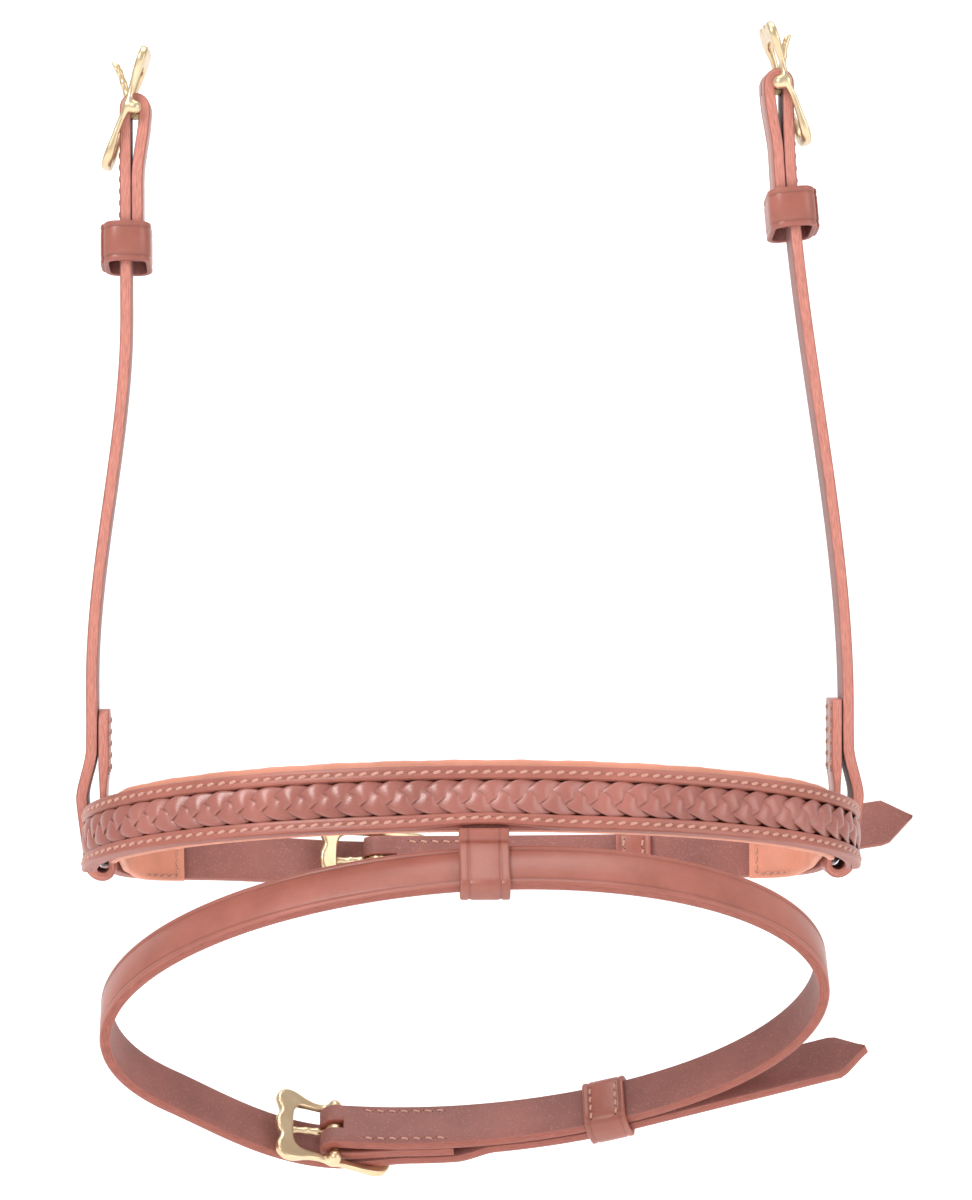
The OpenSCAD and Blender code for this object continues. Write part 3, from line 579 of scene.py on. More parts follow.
# ---- stitches
def stitch_solid(stuff, centre, along, out, length=2.8, thick=0.30, slant=12.0, sunk=0.12, hole=0.28):
    """One thread stitch: a bowed oval rod that dips at each end into a dark disc, painted shade for its hole."""
    along, out = unit(along), unit(out)
    along = along * math.cos(rad(slant)) + np.cross(along, out) * math.sin(rad(slant))
    side = np.cross(along, out)
    m, k = 9, 8
    u = np.linspace(-1, 1, m)
    rr = thick * np.sqrt(np.clip(1 - (u * 0.97) ** 4, 0.02, 1))
    mid = centre + along * (u[:, None] * length / 2) + out * ((0.30 * (1 - u ** 2) - sunk - 0.22 * u ** 4)[:, None])
    a = np.linspace(0, 2 * math.pi, k, endpoint=False)
    cos_a, sin_a = np.cos(a)[:, None], np.sin(a)[:, None]
    run = np.stack(np.broadcast_arrays((u * length / 2)[:, None], np.zeros((m, k)), a * 0.4), -1)
    stuff.loft(mid[:, None, :] + rr[:, None, None] * (side * cos_a * 1.25 + out * sin_a), run)
    # at each end a thin disc of painted shade, standing for the hole's shadow
    for e in SIDE:
        disc = centre + along * (e * length * 0.57) - out * 0.02 + hole * (along * cos_a + side * sin_a)
        stuff.loft(np.stack([disc + out * 0.05, disc - out * 0.3]), slot=1)


def stitch_line(stuff, plane, path, d0, d1, o, w, side=1, pitch=4.0, **style):
    n = int(round((d1 - d0) / pitch))
    for i in range(n):
        d = d0 + (d1 - d0) * (i + 0.5) / n
        p, u = path.at(d, o), path.out(d)
        h = unit(path.at(d + 0.2) - path.at(d - 0.2))
        wv = w(d) if callable(w) else w
        stitch_solid(stuff, plane.at(*p, wv), plane.way(*h), plane.way(*u) * side, **style)


# ---- the front: base, face, plait
FRONT = front_path()
FACE_O = BASE_T + FACE_T


def dip(x):
    """The face's lower edge lifts a little over the flash loop's tab."""
    return 1.5 * np.exp(-(np.asarray(x, float) / 17.0) ** 2)


def section_along(stuff, ds, section, wear):
    """Sweeps a section (o, w) along the front, fixed or given by a function of distance."""
    rings, run = [], []
    for d in ds:
        sec = section(d) if callable(section) else section
        xy = FRONT.at(d) + FRONT.out(d) * sec[:, :1]
        rings.append(NOSE.at(xy[:, 0], xy[:, 1], sec[:, 1]))
        run.append(np.stack([np.full(len(sec), d), sec[:, 0], sec[:, 1]], 1))
    stuff.loft(rings, np.array(run), np.array([wear] * len(ds)))


# across a rail, from its outer edge (-1) to its window edge (1), with the height and the wear of the edge
RAIL = [(-1.0, 0.0, 1.0), (-1.0, 0.55, 0.9), (-0.93, 0.86, 0.35), (-0.78, 0.98, 0.0), (-0.45, 1.0, 0.0),
        (-0.24, 0.99, 0.0), (-0.12, 0.93, 0.0), (0.0, 0.90, 0.0), (0.12, 0.93, 0.0), (0.24, 0.99, 0.0),
        (0.5, 1.0, 0.0), (0.78, 0.97, 0.0), (0.93, 0.84, 0.1), (1.0, 0.6, 0.45), (1.0, 0.0, 0.2)]
# across a strand of the plait
STRAND = ((-1, -0.2, 0.4), (-1.0, 0.45, 0.4), (-0.90, 0.92, 0.3), (-0.7, 1.12, 0), (-0.35, 1.3, 0), (0, 1.36, 0),
          (0.35, 1.3, 0), (0.7, 1.12, 0), (0.90, 0.92, 0.3), (1.0, 0.45, 0.4), (1, -0.2, 0.4), (0.8, -0.9, 0.3),
          (0, -1.0, 0), (-0.8, -0.9, 0.3))


def rail_section(side):
    """One stitched rail of the face: the upper one (1) or the lower one (-1)."""
    low, high = BASE_T + 0.02, FACE_O
    mid, half = (WINDOW_H / 2 + NOSE_TOP) / 2, (NOSE_TOP - WINDOW_H / 2) / 2
    sec = [(low + (high - low) * o, side * (mid - w * half)) for w, o, e in RAIL]
    # painted shade: darker low on the window-side wall and in the stitch groove down the middle
    wear = [(e, 0, 0.3 if w > 0.9 and o < 0.7 else 0.25 if abs(w) < 0.08 else 0.0) for w, o, e in RAIL]
    return np.array(sec), np.array(wear)


def build_front():
    face = Stuff()
    ds = np.linspace(0.3, FRONT.length - 0.3, 260)
    half_win = WINDOW_H / 2
    bottom, bottom_wear = rail_section(-1)

    def lower(d):
        lifted = dip(FRONT.at(d)[0] - 1.0) * np.where(bottom[:, 1] < -half_win - 1, 1.0, 0.45)
        return np.stack([bottom[:, 0], bottom[:, 1] + lifted], 1)

    section_along(face, ds, *rail_section(1))
    section_along(face, ds, lower, bottom_wear)
    w, low, high = half_win + 0.4, BASE_T + 0.02, FACE_O - 0.35
    end_sec = np.array([(low, -w), (high, -w), (high + 0.1, 0), (high, w), (low, w)])
    for lo, hi in ((0.3, 5.2), (FRONT.length - 5.2, FRONT.length - 0.3)):
        section_along(face, np.linspace(lo, hi, 7), end_sec, np.zeros((5, 3)))
    face.piece("face_leather", "noseband", "noseband_face")

    base = Stuff()
    sec, wear = outline(BASE_T / 2, -NOSE_TOP + 0.1, NOSE_TOP - 0.4, r=0.5, creases=())
    sec += arr(BASE_T / 2, 0)
    wear[:, 1] = 0
    # painted shade on the base's face where it shows through the window behind the plait
    wear[(np.abs(sec[:, 1]) < half_win + 0.5) & (sec[:, 0] > BASE_T - 0.2), 2] = 0.35
    section_along(base, ds, sec, wear)
    base.piece("base_leather", "noseband", "noseband_base")

    # three flat strands, each passing from edge to edge, over or under the next
    plait = Stuff()
    start, end = 4.6, FRONT.length - 4.6
    cycles = round((end - start) / (3 * PLAIT_PITCH))
    turn = 2 * math.pi * cycles / (end - start)
    swing, rise, mid_o, half_strand, half_thick, cant = 2.72, 0.86, BASE_T + 1.72, 3.2, 0.62, 0.27
    ds = np.linspace(start, end, cycles * 26 + 1)
    p, u = FRONT.at(ds), FRONT.out(ds)
    h = np.stack([u[:, 1], -u[:, 0]], 1)
    for k in range(3):
        th = turn * (ds - start) + 2 * math.pi * k / 3
        w = swing * np.sin(th) * (1 + 0.06 * np.sin(3 * th + k))
        o = mid_o - rise * np.sin(2 * th)
        aside = unit(np.stack([swing * turn * np.cos(th), -np.ones_like(th)], 1)) * half_strand
        ring = []
        for c, z, _ in STRAND:
            xy = p + h * aside[:, :1] * c + u * (o + z * half_thick - cant * c * np.cos(th))[:, None]
            ring.append(NOSE.at(xy[:, 0], xy[:, 1], w + aside[:, 1] * c))
        run = np.stack(np.broadcast_arrays(ds[:, None], 0, np.arange(len(STRAND)) * 0.5), -1)
        # painted shade: each strand darker on its sides and most of all underneath
        wear = [(e, 0, 0.5 if z < -0.5 else 0.35 if z < 0.6 else 0.0) for _, z, e in STRAND]
        plait.loft(np.stack(ring, 1), run, [wear] * len(ds))
    plait.piece("plait_strands", "noseband", "plait", mats=(PLAITED,), slot="plait_leather")

    rail_mid = (half_win + NOSE_TOP) / 2
    for name, w in (("face_top", rail_mid),
                    ("face_bottom", lambda d: -rail_mid + 0.75 * dip(FRONT.at(d)[0] - 1.0))):
        st = Stuff()
        stitch_line(st, NOSE, FRONT, 2.0, FRONT.length - 2.0, FACE_O - 0.32, w,
                    pitch=3.9, slant=-16, length=3.1, thick=0.47, hole=0.42)
        st.sewn(name, "noseband")


# ---- the lining
FLAP_T, FLAP_SHIFT, FLAP_X, FLAP_TRIM = 3.4, 3.1, CORNER_X - 3.0, 1.0
LIN_LO, LIN_HI, LIN_POINTS = -NOSE_TOP + 0.2, NOSE_TOP + PAD_RISE, 44
LIN_STITCH = dict(length=2.0, thick=0.26, hole=0.14)


def build_lining():
    r_pts, r_out = rear_points(1, FRONT_V + 1, FLAP_X)
    l_pts, l_out = rear_points(-1, FRONT_V + 1, -FLAP_X)
    f = front_path(1, 179)
    path = Path(np.concatenate([r_pts[::-1], f.p, l_pts]), np.concatenate([r_out[::-1], f.u, l_out]))
    ds = np.concatenate([np.arange(0, path.length, 1.7), [path.length]])
    phase = np.random.default_rng(7).uniform(0, 6.28, 12)
    st = Stuff()
    rings, run, wears = [], [], []
    for d in ds:
        p = path.at(d)
        v = p[1]
        near_side = smooth((v - FRONT_V + 34) / 28)
        near_end = 1 - smooth((v - SIDE_V - 6) / 18)
        outer = -0.02 - FLAP_SHIFT * near_side * near_end
        thick = FLAP_T + (PAD_T - FLAP_T) * (1 - smooth((v - FRONT_V + 40) / 30))
        soft = 1 - smooth((v - FRONT_V + 10) / 26)
        lo, hi = LIN_LO + FLAP_TRIM * near_side, LIN_HI - FLAP_TRIM * near_side
        ragged = 0.10 * math.sin(d * 0.31 + phase[0]) + 0.06 * math.sin(d * 0.83 + phase[1])
        mid, half = (lo + hi) / 2, (hi - lo) / 2
        ring, wr = [], []
        for a in np.linspace(0, 2 * math.pi, LIN_POINTS, endpoint=False):
            ca, sa = math.cos(a), math.sin(a)
            # a flat outer side, a crowned inner side, and soft rims
            w = mid + half * np.sign(sa) * abs(sa) ** 0.42
            depth = abs(ca) ** 0.5 * np.sign(ca)
            o = outer - thick / 2 + depth * thick / 2
            if ca < 0:
                crown = 1 - abs((w - mid) / half) ** 2.6
                puff = soft * 0.75 * crown
                wrinkle = soft * 0.14 * crown * (math.sin(d * 0.9 + 2.2 * math.sin(w * 0.35 + phase[2]) + phase[3])
                                                 + 0.6 * math.sin(d * 1.7 + w * 0.5 + phase[4]))
                seam = -0.55 * math.exp(-((half - abs(w - mid) - 2.3) / 0.55) ** 2) if soft > 0.02 else 0
                o = max(o - (puff + wrinkle + seam * soft), outer - thick)
            ring.append((p + path.out(d) * o).tolist() + [w + (ragged if w > mid else 0)])
            rim = max(0.0, 1 - abs(abs(w - mid) - half) / 0.8) * (1.0 if ca > -0.2 else 0.3)
            wr.append((rim * 0.6, 0, 0))
        ring = np.array(ring)
        rise = REAR_RISE * smooth((v - FRONT_V + 14) / 18)
        rings.append(NOSE.at(ring[:, 0], ring[:, 1], ring[:, 2] + rise))
        run.append(np.stack([np.full(LIN_POINTS, d), ring[:, 2], ring[:, 2]], 1))
        wears.append(wr)
    st.loft(rings, run, wears)
    ob = st.piece("lining_pad", "noseband", "noseband_lining", "lining_foam",
                  mats=(LINING,), slot="lining_leather", lean=True)

    for s, name in zip(SIDE, NAMES):
        pts, out = rear_points(s, SIDE_V - 4, s * FLAP_X)
        flap = Path(pts, out)
        sl = Stuff()
        for w in (LIN_HI - 2.6, LIN_LO + 2.4):
            stitch_line(sl, REAR, flap, 8, flap.length - 2.6, -FLAP_T - 0.08, w, side=-1, pitch=3.2, **LIN_STITCH)
        p, u = flap.at(flap.length - 2.6, -FLAP_T - 0.08), flap.out(flap.length - 2.6)
        for w in np.arange(LIN_LO + 4, LIN_HI - 3.5, 3.1):
            stitch_solid(sl, REAR.at(*p, w), REAR.way(0, 0, 1), -REAR.way(*u), **LIN_STITCH)
        sl.sewn("lining_" + name, "noseband", lean=True)


# ---- straps
CHIN_O = STRAP_T / 2 - 0.05
CHIN_R = Path(*rear_points(1, FRONT_V + 1.2, -60))
CHIN_L = Path(*rear_points(-1, FRONT_V + 1.2, 88))
CHIN_BAR_D = CHIN_R.find(0, CHIN_BAR_X, 60)
CHIN_MEET_D = CHIN_L.find(0, CHIN_BAR_X, 60)
CHIN_KEEPER_D = CHIN_L.find(0, CHIN_KEEPER_X, 60)
CHIN_BAR = CHIN_R.at(CHIN_BAR_D, CHIN_O + FOLD_R)


def with_tail(p, run):
    """Carries a path on in a straight line for a pointed tail, and gives each point's edges and lift."""
    q = np.linspace(0, run, 34)[1:]
    ext = p[-1] + unit(p[-1] - p[-2]) * q[:, None]
    shoulder = run - TAIL_POINT
    lo = np.interp(q, [0, shoulder, run], [-HALF_S, -HALF_S, 0.2])
    hi = np.interp(q, [0, shoulder - 2, run], [HALF_S, HALF_S, 0.8])
    before = ((-HALF_S, lo), (HALF_S, hi), (0, q))
    return np.concatenate([p, ext]), *(np.concatenate([np.full(len(p), a), b]) for a, b in before)


def fold_stitches(stuff, plane, path, d0, d1, o):
    for w in (-5.8, 5.8):
        stitch_line(stuff, plane, path, d0, d1, o, w, side=-1)
    return stuff


def build_chin():
    d = np.linspace(0, CHIN_BAR_D, 500)
    p = np.concatenate([CHIN_R.at(d, CHIN_O)[:-1], turned_back(CHIN_R, CHIN_BAR_D, CHIN_O, -1, TURN_BACK)])
    st = Stuff()
    strap(st, REAR, spaced(p, 2.2), STRAP_T / 2, -HALF_S, HALF_S, grain=-1, fold=CHIN_BAR_D)
    st.piece("chin_strap_r", "noseband", "chin_strap_right", lean=True)

    d = np.linspace(0, CHIN_KEEPER_D, 600)
    p = spaced(CHIN_L.at(d, CHIN_O + ride_over(d - CHIN_MEET_D)), 2.2)
    p, lo, hi, q = with_tail(p, CHIN_TAIL)
    st = Stuff()
    strap(st, REAR, p, STRAP_T / 2, lo, hi, lift=q * math.tan(rad(CHIN_TAIL_LIFT)))
    st.piece("chin_strap_l", "noseband", "chin_strap_left", lean=True)
    fold_stitches(Stuff(), REAR, CHIN_R, CHIN_BAR_D - TURN_BACK + 2, CHIN_BAR_D - 10,
                  CHIN_O - STRAP_T / 2).sewn("chin_fold", "noseband")


FLASH_PATH = flash_path(FLASH_BAR_T, FLASH_BAR_T + 432)
FLASH_TURN_D = float(np.interp(360 / 432, np.linspace(0, 1, len(FLASH_PATH.s)), FLASH_PATH.s))
FLASH_BAR = FLASH_PATH.at(0.0, FOLD_R)


def build_flash():
    d = np.linspace(0, FLASH_TURN_D + FLASH_KEEPER_D, 3200)
    p = np.concatenate([
        turned_back(FLASH_PATH, 0, 0, 1, TURN_BACK)[::-1],
        FLASH_PATH.at(d, np.where(d < FLASH_TURN_D / 2, 0.0, ride_over(d - FLASH_TURN_D)))])
    p, lo, hi, _ = with_tail(spaced(p, 2.0), FLASH_TAIL)
    st = Stuff()
    strap(st, FLASH, p, STRAP_T / 2, lo, hi, fold=TURN_BACK)
    st.piece("flash_strap_body", "flash", "flash_strap")
    fold_stitches(Stuff(), FLASH, FLASH_PATH, 9, TURN_BACK - 2, -STRAP_T / 2).sewn("flash_fold", "flash")


# ---- cheek straps
FOOT_Z, FOOT_X = 20.0, HALF_W + 2.3
OUTER_X = HALF_W + STRAP_T - 0.05 + 0.35 + STRAP_T / 2
SKIVED = 2.2
INNER_X = HALF_W - 0.35 - SKIVED / 2
TURN_R, TURN_Z = (OUTER_X - INNER_X) / 2, LOOP_Z - 9.0


def cheek_path(i):
    z = np.linspace(FOOT_Z, CHEEK_BAR_Z[i] + 4, 900)

    def x_at(zz):
        return FOOT_X - CHEEK_LEAN[i] * smooth((zz - BEND_FROM[i]) / (BEND_TO[i] - BEND_FROM[i]))

    return Path(np.stack([x_at(z), z], 1), np.stack([-np.ones_like(z), x_at(z + 0.5) - x_at(z - 0.5)], 1))


CHEEK_PATHS = [cheek_path(i) for i in (0, 1)]
CHEEK_BAR_D = [CHEEK_PATHS[i].find(1, CHEEK_BAR_Z[i]) for i in (0, 1)]
CHEEK_KEEPER_D = [CHEEK_PATHS[i].find(1, CHEEK_KEEPER_Z[i]) for i in (0, 1)]
CHEEK_BARS = [CHEEK_PATHS[i].at(CHEEK_BAR_D[i], FOLD_R) for i in (0, 1)]


def rounded_line(p, passes=3):
    """Corner cutting, so that a run of straight pieces becomes one curve with the same ends."""
    p = np.asarray(p, float)
    for _ in range(passes):
        q = np.empty((2 * len(p), p.shape[1]))
        q[0], q[-1] = p[0], p[-1]
        q[1:-1:2] = 0.75 * p[:-1] + 0.25 * p[1:]
        q[2::2] = 0.25 * p[:-1] + 0.75 * p[1:]
        p = q
    return p


def build_cheek(i):
    path, plane, name = CHEEK_PATHS[i], CHEEK[i], NAMES[i]
    top = LAP_TOP_Z[i]
    rows = [(FOOT_X - PLY - 0.05, z, STRAP_T - 0.2) for z in np.arange(top, 3, -4.0)]
    rows += [(INNER_X, z, SKIVED) for z in range(-1, -23, -7)]
    rows += [((OUTER_X + INNER_X) / 2 + TURN_R * math.cos(rad(a)), TURN_Z + TURN_R * math.sin(rad(a)),
              SKIVED + (STRAP_T - SKIVED) * (a - 180) / 180) for a in range(180, 361, 15)]
    rows += [(OUTER_X, z, STRAP_T) for z in (-24, -16, -8)]
    rows += [(FOOT_X + (OUTER_X - FOOT_X) * (1 - smooth((z + 6) / 20)), z, STRAP_T) for z in range(-3, 13, 3)]
    foot = rounded_line(rows, 2)
    d = np.linspace(0, CHEEK_BAR_D[i], 500)
    behind = turned_back(path, CHEEK_BAR_D[i], 0, -1, CHEEK_BAR_D[i] - CHEEK_KEEPER_D[i] + 4)
    rest = spaced(np.concatenate([path.at(d)[:-1], behind]), 2.4)
    p = np.concatenate([foot[:, :2], rest])
    thick = np.concatenate([foot[:, 2], np.full(len(rest), STRAP_T)]) / 2
    # the lap's end: rounded on the left strap, cut square with softened corners on the right
    s = distances(p)
    round_run = 7.0 if i == 0 else 1.5
    ease = np.sqrt(np.clip(1 - (1 - np.clip(s / round_run, 0, 1)) ** 2, 0, 1))
    half = HALF_S * (1 - (0.55 if i == 0 else 0.12) * (1 - ease))
    st = Stuff()
    apex = s[len(foot) + np.argmax(rest[:, 1])]
    strap(st, plane, p, thick, -half, half, grain=-1, r=0.6, fold=apex - math.pi * FOLD_R / 2)
    st.piece("cheek_strap_body_" + name, "cheek_" + name, "cheek_strap_" + name, mats=(CHEEK_LEATHER,), lean=True)
    fold_stitches(Stuff(), plane, path, CHEEK_KEEPER_D[i] + 9, CHEEK_BAR_D[i] - 10,
                  -STRAP_T / 2).sewn("cheek_fold_" + name, "cheek_" + name)
    st = Stuff()
    x = FOOT_X - PLY - 0.05 - (STRAP_T - 0.2) / 2
    for w in (-5.8, 5.8):
        for z in np.arange(6, top - 2, 4.0):
            stitch_solid(st, plane.at(x, z, w), plane.way(0, 1), plane.way(-1, 0))
    st.sewn("cheek_loop_" + name, "cheek_" + name)


# ---- keepers
def rounded_box_path(hy, hz, r):
    """A closed outline in (y, z) with its outward directions, starting in the middle of the +y side."""
    pts, out = [], []
    for k, (sy, sz) in enumerate(((1, 1), (-1, 1), (-1, -1), (1, -1))):
        for a in np.linspace(90 * k, 90 * k + 90, 7):
            out.append(arr(math.cos(rad(a)), math.sin(rad(a))))
            pts.append(arr(sy * (hy - r), sz * (hz - r)) + r * out[-1])
    return pts, out


def build_keeper(name, body, node, place, length, stack, gap=0.7, thick=1.9):
    """place(x, y, z) takes along, across the plies and across the strap to the world."""
    hy, hz = stack / 2 + gap, STRAP_W / 2 + gap
    pts, out = rounded_box_path(hy + thick / 2, hz + thick / 2, min(4.2, hy * 0.85))
    st = Stuff()
    rings, run, round_it = [], [], []
    for a, b, u, v in zip(pts, pts[1:] + pts[:1], out, out[1:] + out[:1]):
        k = max(1, int(np.linalg.norm(b - a) / 1.5))
        round_it += [(a + (b - a) * j / k, unit(u + (v - u) * j / k)) for j in range(k)]
    sec, wr = outline(thick / 2, -length / 2, length / 2, r=0.55, creases=(1.9,), crease_deep=0.26)
    s, last = 0.0, round_it[-1][0]
    for c, way in round_it:
        s += np.linalg.norm(c - last)
        last = c
        rings.append([place(w, *(c + way * o)) for o, w in sec])
        run.append([(s, o, w) for o, w in sec])
    st.loft(rings, run, [wr] * len(rings), closed=True)
    # the lapped end, on the outer side
    sec, wr = outline(0.62, -length / 2 + 0.15, length / 2 - 0.15, r=0.4, creases=(1.9,), crease_deep=0.2)
    zs = np.linspace(-hz + 3.0, hz - 3.0, 11)
    rings, run = [], []
    for z in zs:
        sink = 0.5 * (abs(z) / (hz - 3)) ** 6
        rings.append([place(w, hy + thick + 0.45 - sink + o, z) for o, w in sec])
        run.append([(z, o, w) for o, w in sec])
    wear = np.array([wr] * len(zs))
    wear[[0, -1], :, 0] = 1
    st.loft(rings, run, wear)
    st.piece(name, body, node)
    return -(hy + thick)


def on_path(plane, path, d, o, out=1):
    p, u = path.at(d, o), path.out(d)

    def place(x, y, z):
        return plane.at(*(p + arr(u[1], -u[0]) * x + u * (y * out)), z)

    return place


def raised_front(place, slope):
    """The same placing with the side towards the viewer raised, so that the ring sits askew on its strap."""
    middle = place(0, 0, 0)[1]

    def askew(x, y, z):
        p = place(x, y, z)
        return p + arr(0, 0, slope * (middle - p[1]))

    return askew


def keeper_thread(name, body, node, place, length, y):
    st = Stuff()
    for s in SIDE:
        x = s * (length / 2 - 2.9)
        for w in np.arange(-6, 6.1, 3.4):
            c = place(x, y, w)
            stitch_solid(st, c, place(x, y, w + 1) - c, c - place(x, y + 1, w), length=2.5, thick=0.34)
    st.sewn(name, body, node)


def build_keepers():
    for name, body, node, plane, path, d, o, length in (
            ("chin_runner", "noseband", "chin_keeper", REAR, CHIN_L, CHIN_KEEPER_D, CHIN_O, 12.4),
            ("flash_runner", "flash_runner", "flash_keeper", FLASH, FLASH_PATH, FLASH_KEEPER_D, 0, 14.6)):
        place = on_path(plane, path, d - length / 2 - 1, o + ON_STRAP / 2)
        ring = name + ("_loop" if body == name else "")
        y = build_keeper(ring, body, node, place, length, 2 * STRAP_T + 0.4)
        keeper_thread(name, body, node, place, length, y)
    for i, name in enumerate(NAMES):
        place = on_path(CHEEK[i], CHEEK_PATHS[i], CHEEK_KEEPER_D[i], (PLY - 3) / 2, out=-1)
        build_keeper("cheek_runner_loop_" + name, "cheek_runner_" + name, "cheek_keeper_" + name,
                     raised_front(place, 0.22), 13.4, 2 * STRAP_T + 3.4)


# ---- the flash loop
def build_flash_loop():
    """A creased tab sewn under the face's lower edge, that goes round the flash strap."""
    wide, t, r = 16.0, 2.0, 1.9
    gy, gz = (STRAP_T + 1.1 + t) / 2 - r, (STRAP_W + 1.2 + t) / 2 - r
    line = [(-10.7, -7.4), (-10.7, -9.2), (-10.9, -10.8)]
    for sy, sw, a0, a1 in ((-1, 1, 150, 180), (-1, -1, 180, 270), (1, -1, 270, 360), (1, 1, 0, 80)):
        for a in np.linspace(a0, a1, 7):
            line.append(FLASH.at(0, sy * gy + r * math.cos(rad(a)), sw * gz + r * math.sin(rad(a)))[1:])
    line += [(-7.3, -13.2), (-8.4, -11.4), (-8.8, -9.6), (-8.8, -8.2)]
    pts = spaced(rounded_line(line, 2), 1.0)
    plane = Plane((FLASH_FRONT[0], 0, 0), (0, 1, 0), (0, 0, 1), (1, 0, 0))
    st = Stuff()
    strap(st, plane, pts, t / 2, -wide / 2, wide / 2, grain=-1, creases=(3.0,), crease_deep=0.3, r=0.6)
    ob = st.build("flash_loop_tab")
    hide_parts("flash_loop")
    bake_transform(ob)


# ---- buckles, as sampled solids
def surface_nets(value, origin, step):
    """A smooth quad surface where value crosses zero, one point to each cell that it passes through."""
    inside = value < 0
    nx, ny, nz = (n - 1 for n in value.shape)
    total, count = np.zeros((nx, ny, nz, 3)), np.zeros((nx, ny, nz))

    def block(a, b, c):
        return value[a:nx + a, b:ny + b, c:nz + c]

    for p in np.ndindex(2, 2, 2):
        for axis in range(3):
            if p[axis]:
                continue
            v0, v1 = block(*p), block(*(1 if k == axis else p[k] for k in range(3)))
            hit = (v0 < 0) != (v1 < 0)
            t = np.where(hit, v0 / np.where(hit, v0 - v1, 1), 0)
            for k in range(3):
                total[..., k] += np.where(hit, p[k] + (t if k == axis else 0), 0)
            count += hit
    used = count > 0
    index = -np.ones(used.shape, int)
    index[used] = np.arange(used.sum())
    cell = np.argwhere(used)
    verts = (cell + total[used] / count[used][:, None]) * step + origin
    faces = []
    for axis in range(3):
        o1, o2 = (axis + 1) % 3, (axis + 2) % 3
        here = np.moveaxis(inside, axis, 0)
        a, b = (np.moveaxis(g, 0, axis) for g in (here[:-1], here[1:]))
        for flip, hit in ((False, a & ~b), (True, ~a & b)):
            g = np.argwhere(hit)
            g = g[(g[:, o1] > 0) & (g[:, o2] > 0)]
            e1, e2 = np.eye(3, dtype=int)[[o1, o2]]
            quads = np.stack([index[tuple((g - i * e1 - j * e2).T)] for i, j in ((0, 0), (1, 0), (1, 1), (0, 1))], 1)
            faces += [tuple(q[::-1] if flip else q) for q in quads[quads.min(1) >= 0]]
    return verts, faces


def blend_min(a, b, k):
    h = np.clip(0.5 + 0.5 * (b - a) / k, 0, 1)
    return b * (1 - h) + a * h - k * h * (1 - h)


def rod(P, a, b, r0, r1):
    a, d = arr(*a), arr(*b) - arr(*a)
    t = np.clip(((P - a) @ d) / (d @ d), 0, 1)
    return np.linalg.norm(P - a - t[..., None] * d, axis=-1) - (r0 + (r1 - r0) * t)


def grid(lo, hi, step):
    ax = [np.arange(lo[k], hi[k] + step, step) for k in range(3)]
    return np.stack(np.meshgrid(*ax, indexing="ij"), -1), arr(*lo)


WINDOW_W = STRAP_W / 2 + 0.8


def relax(verts, faces, passes=6, amount=0.5):
    """Evens out a sampled surface by moving each point towards the middle of its neighbours."""
    edges = np.unique(np.sort(np.array([(f[k], f[(k + 1) % 4]) for f in faces for k in range(4)]), axis=1), axis=0)
    count = np.bincount(edges.ravel(), minlength=len(verts))[:, None]
    for sign in (1, -0.9) * passes:
        total = np.zeros_like(verts)
        np.add.at(total, edges[:, 0], verts[edges[:, 1]])
        np.add.at(total, edges[:, 1], verts[edges[:, 0]])
        verts = verts + sign * amount * (total / np.maximum(count, 1) - verts)
    return verts, faces


def ring_distance(X, Z, half_line):
    """Signed distance in the plane to a closed line that is the same on both sides of z = 0; negative inside."""
    half = rounded_line(np.array(half_line, float), 3)
    line = np.concatenate([half, half[::-1][1:-1] * arr(1, -1)])
    q = np.stack([X, Z], -1)
    best, wind = np.full(X.shape, 1e9), np.zeros(X.shape, bool)
    for a, b in zip(line, np.roll(line, -1, axis=0)):
        d = b - a
        t = np.clip(((q - a) @ d) / max(d @ d, 1e-9), 0, 1)
        best = np.minimum(best, np.linalg.norm(q - a - t[..., None] * d, axis=-1))
        cross = a[0] + (Z - a[1]) * d[0] / (d[1] if d[1] else 1e-12)
        wind ^= ((a[1] > Z) != (b[1] > Z)) & (X < cross)
    return np.where(wind, -best, best)


FRAME_OUTER = [(20.9, 0.0), (20.7, 2.4), (19.3, 4.6), (19.6, 6.6), (20.9, 9.2), (20.4, 12.4), (17.4, 14.7),
               (13.6, 14.3), (9.6, 12.5), (5.0, 11.7), (1.6, 12.4), (-1.6, 12.4), (-5.0, 11.5), (-12.0, 11.4),
               (-18.4, 10.9), (-21.6, 8.2), (-22.6, 4.0), (-22.8, 0.0)]
FRAME_INNER = [(14.6, 0.0), (14.5, 4.0), (14.1, 6.9), (12.4, 8.7), (9.0, 9.0), (5.0, 9.0), (0.0, 8.8),
               (-6.0, 8.6), (-13.0, 8.5), (-16.4, 7.6), (-18.6, 5.2), (-19.4, 2.6), (-19.5, 0.0)]


